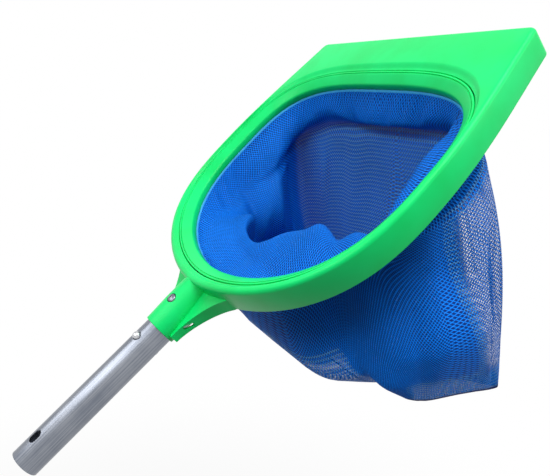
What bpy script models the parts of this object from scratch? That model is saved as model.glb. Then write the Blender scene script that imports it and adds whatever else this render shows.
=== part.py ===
"""Leaf skimmer net: a moulded scoop on a short aluminium handle, with a lift-out net.

Everything is in metres with +Z up, and the part stands as it is carried: the
handle climbs forward from the origin, which is the middle of its open end, and
the net bag hangs straight down from the pitched scoop.

Two working frames are used.
  handle frame  x along the handle's axis from its open end
  scoop frame   u forward from the socket mouth, v to the left, w up from the
                flat underside of the scoop
"""
import math

import bmesh
import bpy
from mathutils import Matrix, Vector

# ---------------------------------------------------------------- pose
HANDLE_PITCH = math.radians(38.4)   # handle above the horizontal
SCOOP_PITCH = math.radians(41.8)    # scoop above the horizontal

# ---------------------------------------------------------------- clearances
FIT_GAP = 0.0003                    # between pieces that touch
SEAM_GAP = 0.0006                   # visible seam between scoop and net ring

# ---------------------------------------------------------------- handle
TUBE_DIAMETER = 0.0286
TUBE_WALL = 0.0016
TUBE_REACH = 0.1644                 # open end to socket mouth
SOCKET_DEPTH = 0.050                # tube inside the socket
TUBE_SIDES = 48
HOLE_ROLL = math.radians(13)        # the drilled line is turned to the right of the top
POLE_SLOT_STATION = 0.0250          # middle of the pole slot from the open end
POLE_SLOT_LENGTH = 0.0130
POLE_SLOT_WIDTH = 0.0080

# ---------------------------------------------------------------- snap buttons
BUTTON_SETBACK = 0.0175             # from the socket mouth back to the buttons
BUTTON_DIAMETER = 0.0080
BUTTON_HEIGHT = 0.0040              # dome above the tube at rest
BUTTON_CLEARANCE = 0.0004           # round the button in its hole
BUTTON_TAIL_DIAMETER = 0.0032
BUTTON_TAIL_HEAD = 0.0052
BUTTON_TAIL_HEAD_HEIGHT = 0.0010
CLIP_THICKNESS = 0.0008
CLIP_WIDTH = 0.0090
CLIP_LENGTH = 0.0460                # button to the clip's bend
CLIP_BEND_RADIUS = 0.0045
CLIP_BEND_STEPS = 5
BUTTON_DOME = 0.0034                # height of the rounded part
BUTTON_DOME_STEPS = 5

# ---------------------------------------------------------------- rivets
RIVET_HEAD_DIAMETER = 0.0086
RIVET_HEAD_HEIGHT = 0.0022
RIVET_SHANK_DIAMETER = 0.0048
RIVET_TAIL_DIAMETER = 0.0070
RIVET_TAIL_HEIGHT = 0.0022
RIVET_SINK = 0.0014                 # recess in the socket under the head
RIVET_RECESS_CLEARANCE = 0.0005
MANDREL_DIAMETER = 0.0022
TOP_RIVET_STATION = 0.0290          # from the socket mouth
SIDE_RIVET_STATION = 0.0212
SIDE_RIVET_TURN = math.radians(97)  # round the tube from the top rivet to the right

# ---------------------------------------------------------------- socket
SOCKET_WALL = 0.0032
SOCKET_MOUTH_WALL = 0.0018          # the wall thins out towards the mouth
SOCKET_TAPER_LENGTH = 0.0300
AXIS_HEIGHT = 0.0121                # tube axis over the scoop's underside, at the mouth
SOCKET_SIDES = 48
GUSSET_START = 0.0030               # from the mouth
GUSSET_ROOT_HALF_WIDTH = 0.0195
GUSSET_TOE_ANGLE = math.radians(158)  # station of the rim where the gusset ends
GUSSET_STEPS = 8
GUSSET_MOUTH_HEIGHT = 0.0078
GUSSET_TOE_HEIGHT = 0.0138
GUSSET_WALL = 0.0028
SIDE_SLOT_LENGTH = 0.0104
SIDE_SLOT_HEIGHT = 0.0044
SIDE_SLOT_CENTRE_HEIGHT = 0.0052
SIDE_SLOT_TILT = math.radians(13)   # it drops as it runs forward

# ---------------------------------------------------------------- scoop
OPENING_CENTRE_U = 0.2220           # widest station of the opening
OPENING_HALF_WIDTH = 0.1634
OPENING_FRONT = 0.1067              # centre to the flat front edge
OPENING_REAR = 0.1448               # centre to the round rear edge
FRONT_POWER = (3.33, 3.33)          # flat edge, tight corners
REAR_POWER = (2.63, 1.90)           # full round rear
RING_WIDTH = 0.0132
RIM_SIDE_WIDTH = 0.0200             # opening to the outside of the rim, at its widest
RIM_REAR_WIDTH = 0.0250             # and at its rear
RIM_REAR_POWER = (2.80, 1.78)
LIP_DEPTH = 0.0615                  # opening to the front of the lip
LIP_TAPER = 0.0254                  # each side draws in this much from widest to corner
LIP_CORNER_RADIUS = 0.0085
RIM_HEIGHT = 0.0272
SEAM_HEIGHT = 0.0239
TROUGH_WIDTH = 0.0080               # slope from the seam up to the rim's top
TROUGH_LIMIT = 0.70                 # of the width there is
EDGE_RADIUS = 0.0042
EDGE_STEPS = 3
CAVITY_CHAMFER = 0.0012
SKIRT_WALL = 0.0026
PLATE = 0.0028
LEDGE_TOP = 0.0095
LEDGE_THICKNESS = 0.0026
LEDGE_REACH = 0.0055                # ledge edge outside the opening
LIP_RIB_COUNT = 7
LIP_RIB_THICKNESS = 0.0018
LIP_RIB_FOOT = 0.0040               # rib bottom over the underside
LIP_RIB_STEPS = 2                   # stations from rib to rib

# stations round the scoop, for one half
LIP_STEPS = 8
CORNER_STEPS = 4
SIDE_STEPS = 8
REAR_STEPS = 16
CORNER_FROM = math.radians(42)      # stations of the opening that face the lip corner
CORNER_TO = math.radians(50)

# ---------------------------------------------------------------- net ring
RING_INNER_HEIGHT = 0.0169
RING_WALL_DEPTH = 0.0070
GROOVE_OFFSET = 0.0103
GROOVE_WIDTH = 0.0008
GROOVE_DEPTH = 0.0009
RING_EDGE_RADIUS = 0.0012
RING_SKIN = 0.0026
CLAMP_WIDTH = 0.0046
CLAMP_HEIGHT = 0.0048
CLAMP_FLANGE = 0.0010
CLAMP_FOOT = 0.0034
HEM_THICKNESS = 0.0008

# ---------------------------------------------------------------- net bag
MESH_THICKNESS = 0.0012
BAG_BOTTOM_X = 0.3560               # middle of the bag's floor, world
BAG_BOTTOM_Z = 0.0550
BAG_FLOOR_HALF_LENGTH = 0.0580
BAG_FLOOR_HALF_WIDTH = 0.1600
BAG_FLOOR_POWER = 8.0
BAG_FLOOR_SLOPE = -0.14             # rise per metre forward
BAG_SAG = 0.40                      # share of the drop made before the wall turns forward
BAG_ROWS = 8
BAG_NECK = 0.0300                   # depth over which the bag leaves the ring squarely
BAG_FULLNESS = 0.0140
BAG_FLOOR_SPINE = 0.60
BAG_STATION_STEPS = 2               # the bag uses every second station of the scoop


# ================================================================ frames
HANDLE_FRAME = Matrix.Rotation(-HANDLE_PITCH, 4, 'Y')
MOUTH = HANDLE_FRAME @ Vector((TUBE_REACH, 0, 0))
SCOOP_FRAME = (Matrix.Translation(MOUTH) @ Matrix.Rotation(-SCOOP_PITCH, 4, 'Y')
               @ Matrix.Translation((0, 0, -AXIS_HEIGHT)))
TUBE_RADIUS = TUBE_DIAMETER / 2
BUTTON_STATION = TUBE_REACH - BUTTON_SETBACK
BORE_RADIUS = TUBE_RADIUS + FIT_GAP
BARREL_RADIUS = BORE_RADIUS + SOCKET_WALL
SCOOP_IN_HANDLE = HANDLE_FRAME.inverted() @ SCOOP_FRAME
SEAM_OFFSET = RING_WIDTH + SEAM_GAP / 2
SEAM_WALL_OFFSET = SEAM_OFFSET + SKIRT_WALL
SOCKET_LENGTH = OPENING_CENTRE_U - OPENING_REAR - RIM_REAR_WIDTH + EDGE_RADIUS * 1.2
RIM_HALF_WIDTH = OPENING_HALF_WIDTH + RIM_SIDE_WIDTH
LIP_HALF_WIDTH = RIM_HALF_WIDTH - LIP_TAPER
LIP_REACH = OPENING_CENTRE_U + OPENING_FRONT + LIP_DEPTH
TOP_LINE = math.pi / 2 + HOLE_ROLL
SIDE_LINE = TOP_LINE + SIDE_RIVET_TURN
RIVETS = (('rivet_top', TOP_RIVET_STATION, TOP_LINE), ('rivet_side', SIDE_RIVET_STATION, SIDE_LINE))


# ================================================================ outlines of the scoop
def superellipse(angle, centre_u, reach, half_width, powers):
    """Point of a left quarter outline at an angle, with its outward normal."""
    along_power, across_power = powers
    along = abs(math.cos(angle)) ** (2 / along_power)
    across = abs(math.sin(angle)) ** (2 / across_power)
    normal = Vector((along_power * along ** (along_power - 1) / reach,
                     across_power * across ** (across_power - 1) / half_width))
    return Vector((centre_u + reach * along, half_width * across)), normal.normalized()


def opening_station(angle, offset):
    """Point of the net opening moved outward by offset, with its outward normal.

    The outline is two superellipse halves that share the widest station.
    Angle 0 is the middle of the front edge and pi the middle of the rear.
    """
    ahead = math.cos(angle) >= 0
    reach = OPENING_FRONT if ahead else -OPENING_REAR
    powers = FRONT_POWER if ahead else REAR_POWER
    point, normal = superellipse(angle, OPENING_CENTRE_U, reach, OPENING_HALF_WIDTH, powers)
    return point + normal * offset, normal


def lip_corner():
    """Middle of the lip corner's arc and the angle at which the side runs into it."""
    taper = 1.25 * math.atan2(LIP_TAPER, LIP_REACH - OPENING_CENTRE_U)
    run = LIP_CORNER_RADIUS * (1 - math.sin(taper)) / math.cos(taper)
    start_v = LIP_HALF_WIDTH + run * math.sin(taper)
    centre = Vector((LIP_REACH - LIP_CORNER_RADIUS, start_v - LIP_CORNER_RADIUS * math.cos(taper)))
    return centre, taper


def outer_station(zone, share, angle):
    """Point on the outside of the rim with its outward normal."""
    centre, taper = lip_corner()
    if zone == 'lip':
        return Vector((LIP_REACH, centre.y * share)), Vector((1, 0))
    if zone == 'corner':
        turn = share * (math.pi / 2 - taper)
        normal = Vector((math.cos(turn), math.sin(turn)))
        return centre + normal * LIP_CORNER_RADIUS, normal
    if zone == 'side':
        start = Vector((OPENING_CENTRE_U, RIM_HALF_WIDTH))
        end = centre + Vector((math.sin(taper), math.cos(taper))) * LIP_CORNER_RADIUS
        return hermite(start, end, Vector((1, 0)), Vector((math.cos(taper), -math.sin(taper))), share)
    return superellipse(angle, OPENING_CENTRE_U, -(OPENING_REAR + RIM_REAR_WIDTH), RIM_HALF_WIDTH,
                        RIM_REAR_POWER)


def hermite(start, end, start_way, end_way, share):
    """Point and left normal of a smooth curve that leaves and arrives in the given ways."""
    length = (end - start).length
    s, r = share, 1 - share
    point = (start * (r * r * (1 + 2 * s)) + start_way * (length * r * r * s)
             + end * (s * s * (1 + 2 * r)) - end_way * (length * s * s * r))
    way = ((end - start) * (6 * s * r) + start_way * (length * r * (1 - 3 * s))
           + end_way * (length * s * (3 * s - 2)))
    way.normalize()
    return point, Vector((-way.y, way.x))


def half_stations():
    """Stations of the left half, front to rear: (zone, share of the zone, opening angle)."""
    stations = []
    lip_width = opening_station(CORNER_FROM, 0)[0].y
    for step in range(LIP_STEPS):
        angle = CORNER_FROM * step / LIP_STEPS
        stations.append(('lip', opening_station(angle, 0)[0].y / lip_width, angle))
    for step in range(CORNER_STEPS + 1):
        share = step / CORNER_STEPS
        stations.append(('corner', share, CORNER_FROM + (CORNER_TO - CORNER_FROM) * share))
    for step in range(1, SIDE_STEPS):
        share = step / SIDE_STEPS
        stations.append(('side', 1 - share, CORNER_TO + (math.pi / 2 - CORNER_TO) * share))
    for step in range(REAR_STEPS + 1):
        stations.append(('rear', 0, math.pi / 2 * (1 + step / REAR_STEPS)))
    return stations


HALF = half_stations()


def whole(half):
    """The closed outline from its left half, mirrored about the middle."""
    mirrored = [Vector((point.x, -point.y, *point[2:])) for point in half[-2:0:-1]]
    return half + mirrored


def opening_row(offset, height, every=1):
    """Closed row of points round the opening at one offset and height."""
    half = [opening_station(angle, offset)[0].to_3d() for _, _, angle in HALF[::every]]
    for point in half:
        point.z = height
    return whole(half)


def rim_row(inset, height):
    """Closed row of points round the rim's outside, moved inward by inset."""
    half = []
    for zone, share, angle in HALF:
        point, normal = outer_station(zone, share, angle)
        point = (point - normal * inset).to_3d()
        point.z = height
        half.append(point)
    return whole(half)


def trough_row(height):
    """Row where the trough round the seam reaches the rim's flat top."""
    rows = zip(opening_row(SEAM_OFFSET, height), rim_row(EDGE_RADIUS, height))
    trough = []
    for seam, shoulder in rows:
        span = (shoulder - seam).length
        share = min(TROUGH_WIDTH, TROUGH_LIMIT * span) / span
        trough.append(seam.lerp(shoulder, share))
    return trough


# ================================================================ mesh makers
def new_object(name, mesh, material, parent, guide=False):
    obj = bpy.data.objects.new(name, mesh)
    bpy.context.scene.collection.objects.link(obj)
    obj.parent = parent
    if guide:
        obj.hide_render = True
        obj.display_type = 'WIRE'
    else:
        mesh.materials.append(material)
    return obj


def finish_mesh(bm, name):
    bmesh.ops.recalc_face_normals(bm, faces=bm.faces[:])
    mesh = bpy.data.meshes.new(name)
    bm.to_mesh(mesh)
    bm.free()
    mesh.shade_smooth()
    mesh.set_sharp_from_angle(angle=math.radians(32))
    return mesh


def bridge(bm, row, next_row):
    count = len(row)
    for i in range(count):
        j = (i + 1) % count
        bm.faces.new((row[i], row[j], next_row[j], next_row[i]))


def loft(name, rows, wrap):
    """Skin over closed rows: wrapped into a ring, or capped at both ends."""
    bm = bmesh.new()
    loops = [[bm.verts.new(point) for point in row] for row in rows]
    for row, next_row in zip(loops, loops[1:]):
        bridge(bm, row, next_row)
    if wrap:
        bridge(bm, loops[-1], loops[0])
    else:
        bm.faces.new(loops[0])
        bm.faces.new(loops[-1])
    return finish_mesh(bm, name)


def turned(name, profile, sides, hollow=False):
    """Body turned about local Z from (radius, height) points.

    A solid's profile starts and ends on the axis; a hollow one's closes on itself.
    """
    bm = bmesh.new()
    loops = []
    for radius, height in profile:
        if radius == 0:
            loops.append([bm.verts.new((0, 0, height))])
            continue
        turn = [2 * math.pi * k / sides for k in range(sides)]
        loops.append([bm.verts.new((radius * math.cos(a), radius * math.sin(a), height)) for a in turn])
    pairs = list(zip(loops, loops[1:]))
    if hollow:
        pairs.append((loops[-1], loops[0]))
    for row, next_row in pairs:
        if len(row) > 1 and len(next_row) > 1:
            bridge(bm, row, next_row)
            continue
        tip, ring = (row[0], next_row) if len(row) == 1 else (next_row[0], row)
        for k in range(sides):
            bm.faces.new((tip, ring[k], ring[(k + 1) % sides]))
    return finish_mesh(bm, name)


def obround(length, width, low, high, arc_steps=8):
    """Two closed rows of a slot with round ends, long in X, from low to high in Z."""
    outline = []
    for end in (1, -1):
        for step in range(arc_steps + 1):
            angle = math.pi * step / arc_steps - math.pi / 2
            outline.append((end * ((length - width) / 2 + width / 2 * math.cos(angle)),
                            end * width / 2 * math.sin(angle)))
    return [[Vector((x, y, height)) for x, y in outline] for height in (low, high)]


def boolean(target, other, operation):
    modifier = target.modifiers.new(operation.lower() + '_' + other.name, 'BOOLEAN')
    modifier.operation = operation
    modifier.solver = 'EXACT'
    modifier.object = other


def radial(station, angle):
    """Frame on the handle's axis whose Z points out through the tube's wall."""
    out = Vector((0, math.cos(angle), math.sin(angle)))
    side = out.cross(Vector((1, 0, 0)))
    axes = Matrix((Vector((1, 0, 0)), side, out)).transposed().to_4x4()
    return Matrix.Translation((station, 0, 0)) @ axes


def along_handle(station):
    """Frame on the handle's axis whose Z runs forward along it."""
    return Matrix.Translation((station, 0, 0)) @ Matrix.Rotation(math.pi / 2, 4, 'Y')


def under_bore(half_width):
    """Height over the axis at which something that wide just clears the tube's bore."""
    return math.sqrt((TUBE_RADIUS - TUBE_WALL - FIT_GAP) ** 2 - half_width ** 2)


# ================================================================ materials
def principled(name, colour, roughness, metallic=0.0):
    material = bpy.data.materials.new(name)
    material.use_nodes = True
    shader = material.node_tree.nodes['Principled BSDF']
    shader.inputs['Base Color'].default_value = (*colour, 1)
    shader.inputs['Roughness'].default_value = roughness
    shader.inputs['Metallic'].default_value = metallic
    material.diffuse_color = (*colour, 1)
    return material


# ================================================================ pieces
def make_scoop(parent, material):
    """The moulding: rim, lip, skirt, ring seat, socket, gussets and ribs."""
    ledge_bottom = LEDGE_TOP - LEDGE_THICKNESS
    rows = [opening_row(SEAM_OFFSET, SEAM_HEIGHT), trough_row(RIM_HEIGHT)]
    for step in range(EDGE_STEPS + 1):
        angle = math.pi / 2 * step / EDGE_STEPS
        rows.append(rim_row(EDGE_RADIUS * (1 - math.sin(angle)),
                            RIM_HEIGHT - EDGE_RADIUS * (1 - math.cos(angle))))
    rows += [
        rim_row(0, 0),
        rim_row(SKIRT_WALL, 0),
        rim_row(SKIRT_WALL, RIM_HEIGHT - EDGE_RADIUS),
        rim_row(SKIRT_WALL + CAVITY_CHAMFER, RIM_HEIGHT - PLATE),
        opening_row(SEAM_WALL_OFFSET, SEAM_HEIGHT - PLATE),
        opening_row(SEAM_WALL_OFFSET, ledge_bottom),
        opening_row(LEDGE_REACH, ledge_bottom),
        opening_row(LEDGE_REACH, LEDGE_TOP),
        opening_row(SEAM_OFFSET, LEDGE_TOP),
    ]
    scoop = new_object('scoop_frame', loft('scoop_frame', rows, wrap=True), material, parent)
    boolean(scoop, make_ribs(parent), 'UNION')
    boolean(scoop, make_gussets(parent), 'UNION')
    boolean(scoop, make_barrel(parent), 'UNION')
    for cutter in socket_cutters(parent):
        boolean(scoop, cutter, 'DIFFERENCE')
    return scoop


def make_ribs(parent):
    """Stiffening ribs under the lip, from the ring seat to the skirt."""
    bm = bmesh.new()
    inner = opening_row(SEAM_WALL_OFFSET - SKIRT_WALL / 2, 0)
    outer = rim_row(SKIRT_WALL / 2, 0)
    reach = (LIP_RIB_COUNT - 1) // 2
    for rib in range(-reach, reach + 1):
        station = rib * LIP_RIB_STEPS
        start, end = inner[station], outer[station]
        across = Vector((start.y - end.y, end.x - start.x, 0)).normalized() * (LIP_RIB_THICKNESS / 2)
        rows = []
        for point, top in ((start, SEAM_HEIGHT - PLATE / 2), (end, RIM_HEIGHT - PLATE / 2)):
            rows.append([bm.verts.new(point + across * side + Vector((0, 0, height)))
                         for side, height in ((-1, LIP_RIB_FOOT), (1, LIP_RIB_FOOT), (1, top), (-1, top))])
        bridge(bm, *rows)
        bm.faces.new(rows[0])
        bm.faces.new(rows[1])
    return new_object('guide_ribs', finish_mesh(bm, 'guide_ribs'), None, parent, guide=True)


def gusset_outline(wall):
    """Plan of the fan between socket and rim, drawn in by wall on its open sides."""
    toe_angle = GUSSET_TOE_ANGLE + 2 * wall / OPENING_HALF_WIDTH
    toe = outer_station('rear', 0, toe_angle)[0]
    root = Vector((GUSSET_START + wall, GUSSET_ROOT_HALF_WIDTH - wall))
    span = toe - root
    bow = (root, root + Vector((0.30 * span.x, 0.05 * span.y)),
           root + Vector((0.80 * span.x, 0.50 * span.y)), toe)
    half = []
    for step in range(GUSSET_STEPS):
        s = step / GUSSET_STEPS
        r = 1 - s
        half.append(bow[0] * r ** 3 + bow[1] * (3 * r * r * s) + bow[2] * (3 * r * s * s) + bow[3] * s ** 3)
    for step in range(GUSSET_STEPS + 1):
        angle = toe_angle + (math.pi - toe_angle) * step / GUSSET_STEPS
        point, normal = outer_station('rear', 0, angle)
        half.append(point + normal * (wall - SKIRT_WALL) / 2)
    right = [Vector((point.x, -point.y)) for point in reversed(half[:-1])]
    return half + right


def gusset_top(u, lowered):
    """Height of the web over the underside, less what it is lowered by."""
    toe = outer_station('rear', 0, GUSSET_TOE_ANGLE)[0]
    return GUSSET_MOUTH_HEIGHT + (GUSSET_TOE_HEIGHT - GUSSET_MOUTH_HEIGHT) * u / toe.x - lowered


def make_gussets(parent):
    """Fan-shaped web with a turned-down edge on both sides of the socket."""
    outline = gusset_outline(0)
    rows = [[Vector((p.x, p.y, 0)) for p in outline],
            [Vector((p.x, p.y, gusset_top(p.x, 0))) for p in outline]]
    web = new_object('guide_gussets', loft('guide_gussets', rows, wrap=False), None, parent, guide=True)
    outline = gusset_outline(GUSSET_WALL)
    rows = [[Vector((p.x, p.y, -GUSSET_WALL)) for p in outline],
            [Vector((p.x, p.y, gusset_top(p.x, GUSSET_WALL))) for p in outline]]
    pocket = new_object('cut_gusset_pocket', loft('cut_gusset_pocket', rows, wrap=False), None, parent,
                        guide=True)
    boolean(web, pocket, 'DIFFERENCE')
    return web


def make_barrel(parent):
    """Round socket that the tube is pushed into, with a softened mouth."""
    mouth = BORE_RADIUS + SOCKET_MOUTH_WALL
    soft = SOCKET_MOUTH_WALL / 3
    profile = [(0, 0), (mouth - soft, 0), (mouth - soft * 0.3, soft * 0.3), (mouth, soft),
               (BARREL_RADIUS, SOCKET_TAPER_LENGTH), (BARREL_RADIUS, SOCKET_LENGTH), (0, SOCKET_LENGTH)]
    barrel = new_object('guide_barrel', turned('guide_barrel', profile, SOCKET_SIDES), None, parent,
                        guide=True)
    barrel.matrix_local = SCOOP_IN_HANDLE.inverted() @ along_handle(TUBE_REACH)
    return barrel


def socket_cutters(parent):
    """Bore, rivet seats and the side slot of the socket."""
    to_scoop = SCOOP_IN_HANDLE.inverted()
    run_out = 0.005
    bore = [(0, -run_out), (BORE_RADIUS, -run_out), (BORE_RADIUS, SOCKET_DEPTH + FIT_GAP),
            (0, SOCKET_DEPTH + FIT_GAP)]
    cutters = [(turned('cut_bore', bore, TUBE_SIDES), along_handle(TUBE_REACH))]
    seat = BARREL_RADIUS - RIVET_SINK
    shank = RIVET_SHANK_DIAMETER / 2 + FIT_GAP
    head = RIVET_HEAD_DIAMETER / 2 + RIVET_RECESS_CLEARANCE
    hole = [(0, BORE_RADIUS - run_out), (shank, BORE_RADIUS - run_out), (shank, seat), (head, seat),
            (head, BARREL_RADIUS + RIVET_HEAD_HEIGHT), (0, BARREL_RADIUS + RIVET_HEAD_HEIGHT)]
    for name, station, angle in RIVETS:
        cutters.append((turned('cut_' + name, hole, 24), radial(TUBE_REACH + station, angle)))
    made = []
    for mesh, place in cutters:
        cutter = new_object(mesh.name, mesh, None, parent, guide=True)
        cutter.matrix_local = to_scoop @ place
        made.append(cutter)
    slot = obround(SIDE_SLOT_LENGTH, SIDE_SLOT_HEIGHT, BARREL_RADIUS, BARREL_RADIUS + GUSSET_ROOT_HALF_WIDTH)
    cutter = new_object('cut_side_slot', loft('cut_side_slot', slot, wrap=False), None, parent, guide=True)
    cutter.matrix_local = (Matrix.Translation((SIDE_RIVET_STATION, 0, SIDE_SLOT_CENTRE_HEIGHT))
                           @ Matrix.Rotation(math.pi / 2, 4, 'X') @ Matrix.Rotation(-SIDE_SLOT_TILT, 4, 'Z'))
    made.append(cutter)
    return made


def make_tube(parent, material):
    inner = TUBE_RADIUS - TUBE_WALL
    chamfer = TUBE_WALL / 4
    length = TUBE_REACH + SOCKET_DEPTH
    profile = [(inner + chamfer, 0), (TUBE_RADIUS - chamfer, 0), (TUBE_RADIUS, chamfer),
               (TUBE_RADIUS, length - chamfer), (TUBE_RADIUS - chamfer, length),
               (inner + chamfer, length), (inner, length - chamfer), (inner, chamfer)]
    tube = new_object('handle_tube', turned('handle_tube', profile, TUBE_SIDES, hollow=True), material,
                      parent)
    tube.matrix_local = along_handle(0)
    reach = TUBE_RADIUS + TUBE_WALL
    slot = obround(POLE_SLOT_LENGTH, POLE_SLOT_WIDTH, -reach, reach)
    holes = [(loft('cut_pole_slot', slot, wrap=False), radial(POLE_SLOT_STATION, TOP_LINE))]
    radius = BUTTON_DIAMETER / 2 + BUTTON_CLEARANCE
    through = [(0, -reach), (radius, -reach), (radius, reach), (0, reach)]
    holes.append((turned('cut_button_holes', through, 24), radial(BUTTON_STATION, TOP_LINE)))
    radius = RIVET_SHANK_DIAMETER / 2 + FIT_GAP
    single = [(0, 0), (radius, 0), (radius, reach), (0, reach)]
    for name, station, angle in RIVETS:
        holes.append((turned('cut_tube_' + name, single, 24), radial(TUBE_REACH + station, angle)))
    for mesh, place in holes:
        cutter = new_object(mesh.name, mesh, None, parent, guide=True)
        cutter.matrix_local = place
        boolean(tube, cutter, 'DIFFERENCE')


def make_rivet(name, station, angle, parent, body_material, pin_material):
    """Blind rivet through socket and tube: hollow body and the mandrel left inside it."""
    seat = BARREL_RADIUS - RIVET_SINK + FIT_GAP
    tail = under_bore(RIVET_TAIL_DIAMETER / 2)
    head_radius = RIVET_HEAD_DIAMETER / 2
    shank = RIVET_SHANK_DIAMETER / 2
    bore = MANDREL_DIAMETER / 2 + FIT_GAP
    profile = [(bore, seat + RIVET_HEAD_HEIGHT), (head_radius * 0.55, seat + RIVET_HEAD_HEIGHT * 0.94),
               (head_radius * 0.86, seat + RIVET_HEAD_HEIGHT * 0.68),
               (head_radius, seat + RIVET_HEAD_HEIGHT * 0.25), (head_radius, seat), (shank, seat),
               (shank, tail), (RIVET_TAIL_DIAMETER / 2, tail),
               (RIVET_TAIL_DIAMETER / 2 * 0.9, tail - RIVET_TAIL_HEIGHT),
               (bore, tail - RIVET_TAIL_HEIGHT)]
    body = new_object(name, turned(name, profile, 24, hollow=True), body_material, parent)
    body.matrix_local = radial(TUBE_REACH + station, angle)
    pin = MANDREL_DIAMETER / 2
    stop = tail - RIVET_TAIL_HEIGHT - FIT_GAP
    profile = [(0, stop - pin * 1.8), (pin * 1.2, stop - pin * 1.5), (pin * 1.7, stop - pin * 0.7),
               (pin * 1.7, stop), (pin, stop), (pin, seat + RIVET_HEAD_HEIGHT * 0.7),
               (0, seat + RIVET_HEAD_HEIGHT * 0.7)]
    mandrel = new_object(name + '_mandrel', turned(name + '_mandrel', profile, 16), pin_material, parent)
    mandrel.matrix_local = radial(TUBE_REACH + station, angle)


def make_clip(parent, material):
    """Spring clip folded from strip, whose two legs carry the snap buttons."""
    leg = under_bore(CLIP_WIDTH / 2) - CLIP_THICKNESS / 2
    pad = CLIP_WIDTH * 0.75
    half = [Vector((pad, leg)), Vector((-pad, leg)), Vector((-pad * 1.6, leg - CLIP_THICKNESS))]
    for step in range(CLIP_BEND_STEPS + 1):
        angle = math.pi / 2 * (1 + step / CLIP_BEND_STEPS)
        half.append(Vector((-CLIP_LENGTH + CLIP_BEND_RADIUS * math.cos(angle),
                            CLIP_BEND_RADIUS * math.sin(angle))))
    path = half + [Vector((point.x, -point.y)) for point in half[-2::-1]]
    rows = []
    for i, point in enumerate(path):
        way = path[min(i + 1, len(path) - 1)] - path[max(i - 1, 0)]
        normal = Vector((-way.y, way.x)).normalized() * (CLIP_THICKNESS / 2)
        rows.append([Vector((point.x + normal.x * n, CLIP_WIDTH / 2 * side, point.y + normal.y * n))
                     for side, n in ((1, 1), (-1, 1), (-1, -1), (1, -1))])
    clip = new_object('snap_clip', loft('snap_clip', rows, wrap=False), material, parent)
    clip.matrix_local = radial(BUTTON_STATION, TOP_LINE)
    radius = BUTTON_TAIL_DIAMETER / 2 + FIT_GAP
    hole = [(0, -TUBE_RADIUS), (radius, -TUBE_RADIUS), (radius, TUBE_RADIUS), (0, TUBE_RADIUS)]
    cutter = new_object('cut_clip_holes', turned('cut_clip_holes', hole, 16), None, parent, guide=True)
    cutter.matrix_local = radial(BUTTON_STATION, TOP_LINE)
    boolean(clip, cutter, 'DIFFERENCE')


def make_button(name, angle, parent, material):
    """Snap button on one leg of the clip, its dome standing out of the tube."""
    radius = BUTTON_DIAMETER / 2
    leg = under_bore(CLIP_WIDTH / 2)
    base = leg + FIT_GAP
    under = leg - CLIP_THICKNESS - FIT_GAP
    tail = BUTTON_TAIL_DIAMETER / 2
    top = TUBE_RADIUS + BUTTON_HEIGHT
    profile = [(0, under - BUTTON_TAIL_HEAD_HEIGHT),
               (BUTTON_TAIL_HEAD / 2, under - BUTTON_TAIL_HEAD_HEIGHT),
               (BUTTON_TAIL_HEAD / 2, under), (tail, under), (tail, base), (radius, base)]
    for step in range(BUTTON_DOME_STEPS):
        turn = math.pi / 2 * step / BUTTON_DOME_STEPS
        profile.append((radius * math.cos(turn), top - BUTTON_DOME * (1 - math.sin(turn))))
    profile.append((0, top))
    button = new_object(name, turned(name, profile, 24), material, parent)
    button.matrix_local = radial(BUTTON_STATION, angle)


def make_net_ring(parent, material):
    """Lift-out ring: a moulded channel whose sloped face funnels into the opening."""
    outer = RING_WIDTH - SEAM_GAP / 2
    foot = LEDGE_TOP + FIT_GAP
    wall_bottom = RING_INNER_HEIGHT - RING_WALL_DEPTH
    edge = RING_EDGE_RADIUS
    groove = GROOVE_WIDTH / 2
    slope = (SEAM_HEIGHT - RING_INNER_HEIGHT) / GROOVE_OFFSET
    channel = GROOVE_OFFSET - groove
    profile = [
        (outer, foot), (outer, SEAM_HEIGHT - edge / 2), (outer - edge / 2, SEAM_HEIGHT),
        (GROOVE_OFFSET + groove, SEAM_HEIGHT), (GROOVE_OFFSET, SEAM_HEIGHT - GROOVE_DEPTH),
        (GROOVE_OFFSET - groove, SEAM_HEIGHT - slope * groove),
        (edge * 1.5, RING_INNER_HEIGHT + slope * edge), (edge * 0.4, RING_INNER_HEIGHT - edge * 0.1),
        (0, RING_INNER_HEIGHT - edge), (0, wall_bottom), (RING_SKIN, wall_bottom),
        (RING_SKIN, RING_INNER_HEIGHT - RING_SKIN * 0.6),
        (channel, SEAM_HEIGHT - RING_SKIN * 1.4), (channel, foot),
    ]
    rows = [opening_row(offset, height) for offset, height in profile]
    new_object('net_ring', loft('net_ring', rows, wrap=True), material, parent)


def make_clamp_ring(parent, material):
    """Hidden ring that presses the bag's hem up under the net ring's inner wall."""
    hem_bottom = RING_INNER_HEIGHT - RING_WALL_DEPTH - HEM_THICKNESS - 2 * FIT_GAP
    top = hem_bottom - FIT_GAP
    upright = RING_SKIN + FIT_GAP
    inner = 2 * FIT_GAP
    outer = inner + CLAMP_WIDTH
    crest = top + CLAMP_HEIGHT
    profile = [(inner, top - CLAMP_FOOT), (inner, top), (upright, top), (upright, crest),
               (upright + CLAMP_FLANGE, crest), (upright + CLAMP_FLANGE, top), (outer, top),
               (outer, top - CLAMP_FOOT)]
    rows = [opening_row(offset, height) for offset, height in profile]
    new_object('clamp_ring', loft('clamp_ring', rows, wrap=True), material, parent)


def make_hem(parent, material):
    """Bound edge of the bag, held flat between the two rings."""
    top = RING_INNER_HEIGHT - RING_WALL_DEPTH - FIT_GAP
    profile = [(FIT_GAP, top), (FIT_GAP, top - HEM_THICKNESS), (RING_SKIN, top - HEM_THICKNESS),
               (RING_SKIN, top)]
    rows = [opening_row(offset, height) for offset, height in profile]
    new_object('bag_hem', loft('bag_hem', rows, wrap=True), material, parent)


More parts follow.
